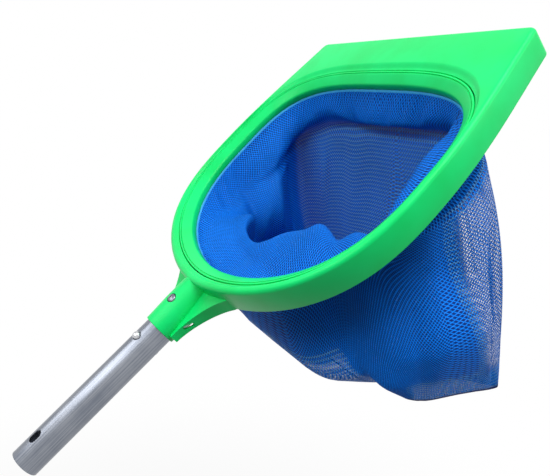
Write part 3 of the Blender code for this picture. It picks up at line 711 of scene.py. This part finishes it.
# %% Join them and cut the bore, the rivet seats and the side slot
def socket_tools():
    to_scoop = SCOOP_FROM_HANDLE
    bore = turned("bore", [(0, -0.005), (BORE + 0.0005, -0.005), (BORE + 0.0005, 0.0), (BORE, 0.0005),
                           (BORE, SOCKET_DEPTH + 0.0003), (0, SOCKET_DEPTH + 0.0003)], 96)
    bore.transform(to_scoop @ along_handle(TUBE_REACH))
    tools = [bore]
    seat = BARREL - 0.0014
    hole = [(0, BORE - 0.005), (0.0027, BORE - 0.005), (0.0027, seat), (0.0048, seat),
            (0.0048, BARREL + 0.0022), (0, BARREL + 0.0022)]
    for name, station, angle in RIVETS:
        tool = turned(name, hole, 48)
        tool.transform(to_scoop @ radial(TUBE_REACH + station, angle))
        tools.append(tool)
    slot = skin_of("slot", slot_rows(0.0104, 0.0044, BARREL, BARREL + 0.0195), wrap=False)
    slot.transform(Matrix.Translation((0.0212, 0, 0.0052)) @ Matrix.Rotation(math.pi / 2, 4, "X")
                   @ Matrix.Rotation(math.radians(-13), 4, "Z"))
    return tools + [slot]


web = new_piece("web", skin_of("web", web_solid(0, 0, 0), wrap=False), GREEN)
cut_or_join(web, [skin_of("pocket", web_solid(0.0028, -0.0028, 0.0028), wrap=False)], "DIFFERENCE")
barrel = turned("barrel", barrel_profile(), 96)
barrel.transform(SCOOP_FROM_HANDLE @ along_handle(TUBE_REACH))
cut_or_join(scoop, rib_meshes() + [web.data.copy(), barrel], "UNION")
cut_or_join(scoop, socket_tools(), "DIFFERENCE")
bpy.data.objects.remove(web)
finish_edges(scoop)
scoop.data.transform(SCOOP)
scoop.data.materials.clear()
scoop.data.materials.append(GREEN)
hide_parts("scoop_frame")
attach(scoop, "frame")
print("scoop faces:", len(scoop.data.polygons))

# %% [markdown]
# ## The net ring
# The ring that lifts out is a channel moulding. Its face slopes down into the opening, a
# fine groove runs just inside the seam, and its inner edge is rounded, which is what draws
# the bright line round the net. The groove is part of the cross section, because a bump in
# the finish would vanish when it is seen from the side.

# %% Net ring
INNER_HEIGHT = 0.0169
WALL_BOTTOM = INNER_HEIGHT - 0.0070
RING_SKIN = 0.0026
GROOVE = 0.0103
RING_FOOT = 0.0098


def slope_at(offset):
    """Height of the ring's sloped face, from the groove down to the opening."""
    return SEAM_HEIGHT - (SEAM_HEIGHT - INNER_HEIGHT) / GROOVE * (GROOVE - offset)


def ring_section():
    outer = SEAM - 0.0010
    deep, wide, brink = SEAM_HEIGHT - 0.0015, 0.0003, 0.0005
    profile = [(outer, RING_FOOT)]
    profile += round_edge((outer, RING_FOOT), (outer, SEAM_HEIGHT), (GROOVE, SEAM_HEIGHT), 0.0006)
    profile += round_edge((outer, SEAM_HEIGHT), (GROOVE + brink, SEAM_HEIGHT), (GROOVE + wide, deep),
                          0.0003, 2)
    profile += [(GROOVE + wide, deep), (GROOVE - wide, deep)]
    profile += round_edge((GROOVE - wide, deep), (GROOVE - brink, slope_at(GROOVE - brink)), (0, slope_at(0)),
                          0.0003, 2)
    profile += [(GROOVE * share, slope_at(GROOVE * share) + bulge)
                for share, bulge in ((0.75, 0.0001), (0.5, 0.0002), (0.3, 0.0001))]
    profile += round_edge((GROOVE * 0.3, slope_at(GROOVE * 0.3)), (0, INNER_HEIGHT), (0, WALL_BOTTOM),
                          0.0018, 5)
    profile += [(0, WALL_BOTTOM + 0.0003), (0.0003, WALL_BOTTOM), (RING_SKIN, WALL_BOTTOM),
                (RING_SKIN, INNER_HEIGHT - RING_SKIN * 0.6), (GROOVE - 0.0010, SEAM_HEIGHT - RING_SKIN * 1.5),
                (GROOVE - 0.0010, RING_FOOT)]
    return [opening_row(offset, height) for offset, height in profile]


ring = new_piece("net_ring_moulding", skin_of("net_ring_moulding", ring_section(), wrap=True, crease=50),
                 GREEN, SCOOP)
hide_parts("net_ring")
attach(ring, "net")
print("ring faces:", len(ring.data.polygons))

# %% [markdown]
# ## The handle
# The tube is drawn aluminium with a chamfered end, a slot for the pole's own button, holes
# for the snap buttons and two rivet holes hidden under their heads. It is turned from its
# wall's section in one piece, so that its end shows the true wall, and then it is cut.

# %% Tube with its slot and holes
def tube_profile():
    inner, length = TUBE_R - TUBE_WALL, TUBE_REACH + SOCKET_DEPTH
    outside = (round_edge((inner, 0), (TUBE_R, 0), (TUBE_R, length), 0.0006)
               + round_edge((TUBE_R, 0), (TUBE_R, length), (inner, length), 0.0006))
    inside = (round_edge((TUBE_R, length), (inner, length), (inner, 0), 0.0005)
              + round_edge((inner, length), (inner, 0), (TUBE_R, 0), 0.0005))
    return outside + inside


def tube_tools():
    slot = skin_of("slot", slot_rows(0.0130, 0.0080, -0.0160, 0.0160), wrap=False)
    slot.transform(radial(POLE_SLOT_AT, TOP_LINE))
    hole = turned("hole", [(0, -0.0160), (0.0044, -0.0160), (0.0044, 0.0160), (0, 0.0160)], 48)
    hole.transform(radial(BUTTON_AT, TOP_LINE))
    tools = [slot, hole]
    for name, station, angle in RIVETS:
        tool = turned(name, [(0, 0), (0.0027, 0), (0.0027, 0.0160), (0, 0.0160)], 32)
        tool.transform(radial(TUBE_REACH + station, angle))
        tools.append(tool)
    return tools


tube = new_piece("drawn_tube", turned("drawn_tube", tube_profile(), 128, hollow=True), ALUMINIUM,
                 along_handle(0))
cut_or_join(tube, tube_tools(), "DIFFERENCE")
finish_edges(tube)
tube.data.transform(HANDLE)
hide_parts("handle_tube")
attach(tube, "frame")
print("tube faces:", len(tube.data.polygons))

# %% [markdown]
# ## Rivets, snap buttons and clip
# The two blind rivets have a low dome with the broken pin in its middle, and they sink a
# little into the socket. A blind rivet is a turned part, so a profile makes it in one go,
# collar and tail included. Its pin stays the measured one and gets a steel finish.

# %% Rivets and their pins
def dome(radius, base, height, steps=7):
    return [(radius * math.cos(math.pi / 2 * k / steps), base + height * math.sin(math.pi / 2 * k / steps))
            for k in range(steps)]


def under_bore(half_width):
    return math.sqrt((TUBE_R - TUBE_WALL - 0.0003) ** 2 - half_width ** 2)


def make_rivet(name, node, station, angle):
    seat, tail = BARREL - 0.0011, under_bore(0.0035)
    head = dome(0.0043, seat + 0.0004, 0.0018)[:-1]
    profile = ([(0.0024, tail), (0.0024, seat), (0.0043, seat)] + head
               + [(0.0014, seat + 0.00205), (0.0014, seat - 0.001), (0.0014, tail - 0.0022),
                  (0.00315, tail - 0.0022), (0.0035, tail)])
    rivet = new_piece(name, turned(name, profile, 48, hollow=True), ALUMINIUM,
                      HANDLE @ radial(TUBE_REACH + station, angle))
    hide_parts(node)
    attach(rivet, "frame")
    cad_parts[node + "_mandrel"].material_slots[0].material = STEEL
    return rivet


rivets = [make_rivet("rivet_head_" + n.split("_")[0], "rivet_" + n.split("_")[0], s, a) for n, s, a in RIVETS]
print("rivets:", [r.name for r in rivets])

# %% [markdown]
# The buttons are steel domes that look out of the tube on both sides. They ride on a folded
# spring strip inside it. The strip and the clamp ring stay the measured ones, because only
# their finish needs work.

# %% Snap buttons and the clip
def make_button(name, angle):
    leg = under_bore(0.0045)
    top = TUBE_R + 0.0040
    under = leg - 0.0011
    profile = [(0, under - 0.0010), (0.0026, under - 0.0010), (0.0026, under), (0.0016, under),
               (0.0016, leg + 0.0003), (0.0040, leg + 0.0003)]
    profile += dome(0.0040, top - 0.0034, 0.0034) + [(0, top)]
    button = new_piece(name + "_dome", turned(name + "_dome", profile, 48), STEEL,
                       HANDLE @ radial(BUTTON_AT, angle))
    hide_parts(name)
    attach(button, name.replace("snap_", ""))
    return button


buttons = [make_button("snap_button_top", TOP_LINE), make_button("snap_button_bottom", TOP_LINE + math.pi)]
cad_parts["snap_clip"].material_slots[0].material = ZINC
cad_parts["clamp_ring"].material_slots[0].material = GREEN_HIDDEN
print("buttons:", [b.name for b in buttons])

# %% [markdown]
# ## The bag, first as a loft
# The bag is a limp pouch of knitted nylon mesh, sewn along the edge of its floor. Its
# broad shape is a loft: it leaves the ring squarely, turns down under its own weight and
# ends in a long flat floor. A full simulation from a flat cut would take minutes and fall
# another way each time a size changed, so the shape comes first and the solver last.

# %% Loft of the bag
NECK = 0.0300
BAG_TOP = WALL_BOTTOM - 0.0003
AROUND, NECK_ROWS, WALL_ROWS, FLOOR_ROWS = 52, 7, 44, 11
FLOOR_X, FLOOR_Z, FLOOR_SLOPE = 0.3560, 0.0550, -0.14
FLOOR_LENGTH, FLOOR_WIDTH, FLOOR_SPINE = 0.0590, 0.1600, 0.60
FLOOR_POWER = 12.0
SAG, FULLNESS = 0.40, 0.0140


def even_angles(start, end, count):
    """Angles that share the opening's outline into equal lengths."""
    fine = [start + (end - start) * k / 800 for k in range(801)]
    points = [opening(a, 0) for a in fine]
    lengths = [0.0]
    for a, b in zip(points, points[1:]):
        lengths.append(lengths[-1] + (b - a).length)
    return [float(np.interp(lengths[-1] * k / count, lengths, fine)) for k in range(count + 1)]


HALF_ANGLES = even_angles(0, math.pi / 2, AROUND) + even_angles(math.pi / 2, math.pi, AROUND)[1:]
BAG_ANGLES = np.array(HALF_ANGLES + [-a for a in HALF_ANGLES[-2:0:-1]])
COUNT = len(BAG_ANGLES)


def opening_points(offset):
    points = [opening(abs(a), offset) for a in BAG_ANGLES]
    side = np.where(BAG_ANGLES < 0, -1.0, 1.0)
    return np.array([(p.x, p.y) for p in points]) * np.stack([np.ones(COUNT), side], 1)


def scoop_to_world(points):
    matrix = np.array(SCOOP)
    return points @ matrix[:3, :3].T + matrix[:3, 3]


def neck_row(depth):
    flat = opening_points(0.0)
    return scoop_to_world(np.column_stack([flat, np.full(COUNT, BAG_TOP - depth)]))


def floor_row(share):
    reach = np.abs(np.cos(BAG_ANGLES)) ** (2 / FLOOR_POWER) * np.sign(np.cos(BAG_ANGLES))
    across = np.abs(np.sin(BAG_ANGLES)) ** (2 / FLOOR_POWER) * np.sign(BAG_ANGLES)
    x = FLOOR_LENGTH * reach * share
    y = FLOOR_WIDTH * across * (FLOOR_SPINE + (1 - FLOOR_SPINE) * share)
    return np.column_stack([FLOOR_X + x, y, FLOOR_Z + FLOOR_SLOPE * x])


def steps_round_ring():
    """Length of each step along the hem, from the middle of the front edge."""
    return np.linalg.norm(np.roll(ROWS[0], -1, 0) - ROWS[0], axis=1)


def row_depths():
    """How far down the cloth each row lies, taken along the wall."""
    return np.concatenate([[0], np.cumsum(np.linalg.norm(np.diff(ROWS, axis=0), axis=2).mean(1))])


def loft_rows():
    rows = [neck_row(NECK * k / NECK_ROWS) for k in range(NECK_ROWS + 1)]
    start, end = rows[-1], floor_row(1)
    down = np.array([0.0, 0.0, -1.0])
    outward = opening_points(0.0) - np.array([CENTRE_U, 0])
    outward /= np.linalg.norm(outward, axis=1)[:, None]
    outward = np.column_stack([outward, np.zeros(COUNT)]) @ np.array(SCOOP.to_3x3()).T
    turn = start + down * (SAG * ((end - start) @ down))[:, None]
    for step in range(1, WALL_ROWS + 1):
        s = step / WALL_ROWS
        row = (start * (1 - s) + turn * s) * (1 - s) + (turn * (1 - s) + end * s) * s
        rows.append(row + outward * FULLNESS * math.sin(math.pi * s))
    rows += [floor_row(1 - 0.97 * k / FLOOR_ROWS) for k in range(1, FLOOR_ROWS + 1)]
    return np.array(rows), outward


ROWS, OUTWARD = loft_rows()
print("bag grid:", ROWS.shape[0], "rows of", COUNT)

# %% [markdown]
# A knit keeps its size wherever the cloth goes, so the mesh carries coordinates in metres,
# measured along the unfolded loft. The walls run round the ring and down, and the floor,
# which is a panel of its own, has straight ones.

# %% Mesh of the bag with its weave coordinates in metres
def bag_mesh(rows):
    """Quads between the rows, with the floor's last row sewn to itself across the spine."""
    count_rows = len(rows)
    points = rows.reshape(-1, 3)
    faces, weave = [], []
    along = np.concatenate([[0], np.cumsum(steps_round_ring())])
    depth = row_depths()
    floor_from = NECK_ROWS + WALL_ROWS
    for r in range(count_rows - 1):
        for i in range(COUNT):
            j = (i + 1) % COUNT
            corners = ((r, i, along[i]), (r, j, along[i + 1]), (r + 1, j, along[i + 1]), (r + 1, i, along[i]))
            faces.append([a * COUNT + b for a, b, _ in corners])
            if r < floor_from:
                weave.append([(u, depth[a]) for a, _, u in corners])
            else:
                weave.append([(ROWS[a, b, 1] + 2.0, ROWS[a, b, 0]) for a, b, _ in corners])
    last = (count_rows - 1) * COUNT
    half = 2 * AROUND
    for i in range(half // 2):
        for side in (1, -1):
            a, b = (side * i) % COUNT, (side * (i + 1)) % COUNT
            c, d = (side * (half - i - 1)) % COUNT, (side * (half - i)) % COUNT
            ring = (a, b, c, d)
            flat = [tuple(ROWS[-1, k, 1::-1] + np.array([2.0, 0.0])) for k in ring]
            faces.append([last + k for k in dict.fromkeys(ring)])
            weave.append([flat[ring.index(k)] for k in dict.fromkeys(ring)])
    mesh = bpy.data.meshes.new("mesh_bag_cloth")
    mesh.from_pydata(points.tolist(), [], [f for f in faces if len(f) > 2])
    layer = mesh.uv_layers.new(name="weave").data
    flat = [corner for face, corners in zip(faces, weave) if len(face) > 2 for corner in corners]
    layer.foreach_set("uv", np.array(flat, dtype=np.float32).ravel())
    mesh.shade_smooth()
    return mesh


print("the weave of the walls runs round the ring; the floor has its own")

# %% [markdown]
# ## Folds
# Each fold is a soft ridge pushed into the loft. The front edge drops a short flap, the
# left side bulges inward as a lobe, a hump crosses the rear, and the tight right side is
# nearly flat. A ridge never moves the row that is held in the ring.

# %% Main folds
FOLD_START = 0.045


def smooth_step(x):
    x = np.clip(x, 0, 1)
    return x * x * (3 - 2 * x)


def bump_at(x, centre, width):
    """Smooth hump of height 1 around a centre, zero beyond its width."""
    t = np.clip(np.abs(x - centre) / width, 0, 1)
    return (1 - t * t) ** 2


def fold(rows, angle, depth, span, reach, inward, rise=0.0, lean=0.0):
    """Push a ridge into the loft: inward towards the middle and up or down by rise.

    angle and span are degrees round the opening, depth and reach are shares of the wall
    from the ring to the floor, and lean turns the ridge sideways as it goes down.
    """
    wall = np.arange(len(rows))[:, None] / (NECK_ROWS + WALL_ROWS)
    turn = np.degrees(BAG_ANGLES)[None, :]
    centre = angle + lean * (wall - depth)
    gap = (turn - centre + 180) % 360 - 180
    weight = bump_at(gap, 0, span) * bump_at(wall, depth, reach) * np.minimum(wall / FOLD_START, 1)
    rows -= OUTWARD[None] * (weight * inward)[..., None]
    rows[..., 2] += weight * rise


# angle, depth, span, reach, inward in metres, rise in metres, lean
FOLDS = (
    # the flap inside the front edge and the strip beside it
    (0, 0.10, 62, 0.12, 0.022, 0.000, 0),
    (66, 0.10, 40, 0.12, 0.018, 0.000, 0),
    (-78, 0.09, 50, 0.13, 0.048, 0.008, 0),
    # the lobe on the left
    (88, 0.42, 15, 0.46, 0.044, 0.000, 10),
    (120, 0.46, 44, 0.46, 0.062, 0.008, 0),
    (146, 0.28, 34, 0.32, 0.034, 0.022, 0),
    # the wall set back under the flap, with its upright creases
    (0, 0.225, 56, 0.05, -0.010, 0.000, 0),
    (70, 0.225, 30, 0.05, -0.008, 0.000, 0),
    (58, 0.45, 14, 0.45, -0.008, 0.000, 0),
    (36, 0.48, 7, 0.30, 0.007, 0.000, 4),
    (12, 0.44, 8, 0.34, 0.007, 0.000, -6),
    # the hump across the rear
    (-146, 0.46, 50, 0.44, 0.076, 0.052, 0),
    (-108, 0.40, 26, 0.36, 0.042, 0.026, 0),
    (176, 0.30, 32, 0.32, 0.036, 0.020, 0),
    # the right side
    (-60, 0.60, 14, 0.36, 0.012, 0.000, 0),
    (-88, 0.75, 12, 0.30, -0.012, 0.000, 0),
    (-42, 0.62, 46, 0.75, -0.011, 0.000, 0),
    # the rear edge of the floor
    (-158, 0.98, 26, 0.30, 0.000, 0.014, 0),
    (-173, 0.86, 26, 0.26, -0.016, 0.000, 0),
)
rows = ROWS.copy()
for one in FOLDS:
    fold(rows, *one)
bag = new_piece("mesh_bag_cloth", bag_mesh(rows), None)
print("bag faces:", len(bag.data.polygons))

# %% [markdown]
# ## Where the knit is pulled open
# Slack cloth looks solid, and stretched cloth shows the light between its threads. Each
# tight place is a soft-edged patch of the wall, and the map of them all is kept on the
# cloth as an attribute that the shader reads.

# %% Stretch map
# from and to in degrees round the opening, from and to in share of the wall, how far it opens
TIGHT = (
    (-88, -32, 0.22, 0.92, 0.95),
    (-50, -14, 0.42, 0.96, 0.95),
    (-16, 10, 0.76, 0.96, 0.90),
    (-20, 64, 0.16, 0.80, 0.04),
    (-112, -60, 0.90, 1.20, 0.50),
    (150, 190, 0.80, 1.10, 0.60),
    (-190, -156, 0.80, 1.10, 0.60),
)


def window(x, low, high, soft):
    """1 between low and high, 0 outside, with soft edges."""
    return smooth_step((x - low) / soft + 0.5) * smooth_step((high - x) / soft + 0.5)


def stretch_map():
    """How far the knit is pulled open at each point: 0 where it is slack, 1 where it is tight."""
    wall = np.arange(len(ROWS))[:, None] / (NECK_ROWS + WALL_ROWS)
    turn = np.degrees(BAG_ANGLES)[None, :]
    open_knit = np.zeros((len(ROWS), COUNT))
    for angle_from, angle_to, depth_from, depth_to, amount in TIGHT:
        patch = window(turn, angle_from, angle_to, 4) * window(wall, depth_from, depth_to, 0.05)
        open_knit = np.maximum(open_knit, amount * patch)
    return open_knit


layer = bag.data.attributes.new("open knit", "FLOAT", "POINT")
openness = stretch_map()
layer.data.foreach_set("value", openness.ravel().astype(np.float32))
print("share of the cloth that is pulled open:", round(float((openness > 0.5).mean()), 3))

# %% [markdown]
# ## Letting it hang
# A loft alone looks pressed. The cloth solver gets the same mesh with a little spare
# fabric, so that it buckles into small creases where it is slack. Left free it would pull
# the folds out again, so the movement of every point is capped at a few millimetres. The
# folds stay, and the bag keeps clear of the ring and the scoop.

# %% Cloth pass
CAP = 0.0035
SPARE_CLOTH = 0.045
FRAMES = 24


def hang(piece, frames, spare):
    group = piece.vertex_groups.new(name="held")
    group.add(list(range(COUNT)), 1.0, "REPLACE")
    cloth = piece.modifiers.new("cloth", "CLOTH")
    cloth.settings.quality = 7
    cloth.settings.mass = 0.12
    cloth.settings.tension_stiffness = 18
    cloth.settings.compression_stiffness = 14
    cloth.settings.shear_stiffness = 3
    cloth.settings.bending_stiffness = 0.06
    cloth.settings.air_damping = 2.0
    cloth.settings.shrink_min = -spare
    cloth.settings.vertex_group_mass = "held"
    cloth.point_cache.frame_start = 1
    cloth.point_cache.frame_end = frames
    before = np.array([v.co for v in piece.data.vertices])
    for number in range(1, frames + 1):
        bpy.context.scene.frame_set(number)
    posed = piece.evaluated_get(bpy.context.evaluated_depsgraph_get()).to_mesh()
    after = np.array([v.co for v in posed.vertices])
    piece.modifiers.clear()
    piece.vertex_groups.clear()
    bpy.context.scene.frame_set(1)
    move = after - before
    length = np.linalg.norm(move, axis=1)
    limit = CAP * np.tanh(length / CAP) / np.maximum(length, 1e-9)
    piece.data.vertices.foreach_set("co", (before + move * limit[:, None]).ravel())
    piece.data.update()
    return length.max()


free_move = float(hang(bag, FRAMES, SPARE_CLOTH))
print("free cloth would move, m:", round(free_move, 4), "and it is held to", CAP)

# %% [markdown]
# ## Knitted mesh
# The net is a diamond knit. Two families of slanted threads come from sines of the weave
# coordinates: where either is near zero there is thread. Between the threads the colour is
# a painted shade, dark where the cloth is slack, and the cloth is see-through where the
# stretch map pulls it open. Each thread is painted lighter at its crest, a painted highlight,
# and sparse white glints on the crests are painted highlights too. The front wall, seen from
# inside, shows its rows, and the seams and the hem are lines in the weave.

# %% Blue mesh and its hem
def blue_mesh(name, pitch_u, pitch_v, thread):
    finish = Finish(name, Metallic=0.0, Specular_IOR_Level=0.10)
    weave = finish.pen.node("ShaderNodeUVMap", {"uv_map": "weave"}).outputs[0]
    parts = finish.pen.node("ShaderNodeSeparateXYZ", {}, Vector=weave)
    u, v = Wire(finish.tree, parts.outputs[0]), Wire(finish.tree, parts.outputs[1])
    opened = Wire(finish.tree, finish.pen.node("ShaderNodeAttribute", {"attribute_name": "open knit"})
                  .outputs["Fac"])
    place = finish.place()
    wander = finish.noise(place, 30.0, 2.0, 0.5) * 1.5
    a = u * (math.pi / pitch_u) + v * (math.pi / pitch_v) + wander
    b = u * (math.pi / pitch_u) - v * (math.pi / pitch_v) + wander
    near = a.math("MINIMUM", a.sin().abs(), b.sin().abs())
    cover = 1 - near.smooth(thread - 0.12, thread + 0.12)
    crest = 1 - near.smooth(0.0, thread)
    hole = (near + opened * 0.10).smooth(thread + 0.06, thread + 0.16) * opened
    cloud = finish.noise(place, 14.0, 3.0, 0.6).smooth(0.3, 0.7)
    rows = (v * (2 * math.pi / ROW_PITCH) + wander * 0.3).sin().smooth(-0.2, 0.9) \
        * opened.smooth(0.01, 0.04)
    hem = 1 - v.smooth(0.0012, 0.0024)
    edge = v.smooth(SEAM_DEPTH - 0.0030, SEAM_DEPTH - 0.0020) * (1 - u.smooth(1.2, 1.4))
    side = 1 - (u - SIDE_SEAM).abs().smooth(0.0006, 0.0014)
    seam = edge.math("MAXIMUM", edge, side)
    glint = finish.noise(place, 420.0, 1.0, 0.5).smooth(0.64, 0.72) * crest * (opened * 0.7 + 0.12)
    # Between the threads: a painted shade, darker than the threads, with a random cloudy tone.
    gap = finish.mix(cloud, rgb(0, 36, 104), rgb(0, 54, 140))
    deep = finish.mix(cloud, rgb(0, 82, 194), rgb(0, 98, 218))
    # The thread is painted lighter towards its crest: a painted highlight.
    lit = finish.mix(crest, deep, rgb(6, 142, 255))
    lit = finish.mix(rows * 0.50, lit, rgb(120, 190, 225))
    cloth = finish.mix(glint, finish.mix(cover, gap, lit), rgb(190, 220, 250))
    cloth = finish.mix(opened.smooth(0.4, 0.9) * 0.45, cloth, rgb(0, 54, 150))
    sewn = finish.mix(seam, cloth, rgb(0, 30, 100))
    finish.feed("Base Color", finish.mix(hem, sewn, rgb(70, 175, 235)))
    finish.feed("Roughness", 0.60 - glint * 0.25)
    finish.feed("Alpha", 1 - hole * (1 - seam))
    finish.bump(crest, 0.6, 0.0004)
    return finish.material


def woven_tape(name):
    finish = Finish(name, Metallic=0.0, Roughness=0.75)
    place = finish.place()
    grain = finish.noise(finish.scaled(place, (900.0, 900.0, 900.0)), 1.0, 2.0, 0.5)
    finish.feed("Base Color", finish.mix(grain.smooth(0.4, 0.6), rgb(60, 150, 205), rgb(120, 205, 235)))
    finish.bump(grain, 0.4, 0.0003)
    return finish.material


PITCH_U, PITCH_V, ROW_PITCH = 0.0035, 0.0031, 0.0036
THREAD = 0.55
SIDE_SEAM_ANGLE = -46
around_ring = np.cumsum(steps_round_ring())
SIDE_SEAM = float(around_ring[int(np.argmin(np.abs(np.degrees(BAG_ANGLES) - SIDE_SEAM_ANGLE)))])
SEAM_DEPTH = float(row_depths()[NECK_ROWS + WALL_ROWS])
MESH = blue_mesh("blue knitted mesh", PITCH_U, PITCH_V, THREAD)
TAPE = woven_tape("hem tape")
bag.data.materials.append(MESH)
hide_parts("mesh_bag")
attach(bag, "net")
print("mesh pitch, m:", PITCH_U, PITCH_V)
print("floor seam at", round(SEAM_DEPTH, 4), "and side seam at", round(SIDE_SEAM, 4), "m in the weave")

# %% [markdown]
# The hem is a pale tape, bound over the edge of the bag and clamped between the two rings.
# It is swept round the opening from a small section, because it is thicker and coarser
# than the knit.

# %% Hem tape
def hem_section():
    profile = round_edge((0.0003, 0.0096), (0.0003, 0.0096 - 0.0008), (RING_SKIN, 0.0088), 0.0003, 2)
    profile += round_edge((0.0003, 0.0088), (RING_SKIN, 0.0088), (RING_SKIN, 0.0096), 0.0003, 2)
    profile += [(RING_SKIN, 0.0096), (0.0003, 0.0096)]
    return [opening_row(offset, height) for offset, height in profile]


hem = new_piece("hem_tape", skin_of("hem_tape", hem_section(), wrap=True), TAPE, SCOOP)
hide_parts("bag_hem")
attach(hem, "net")


# %% Last update of the scene
bpy.context.view_layer.update()
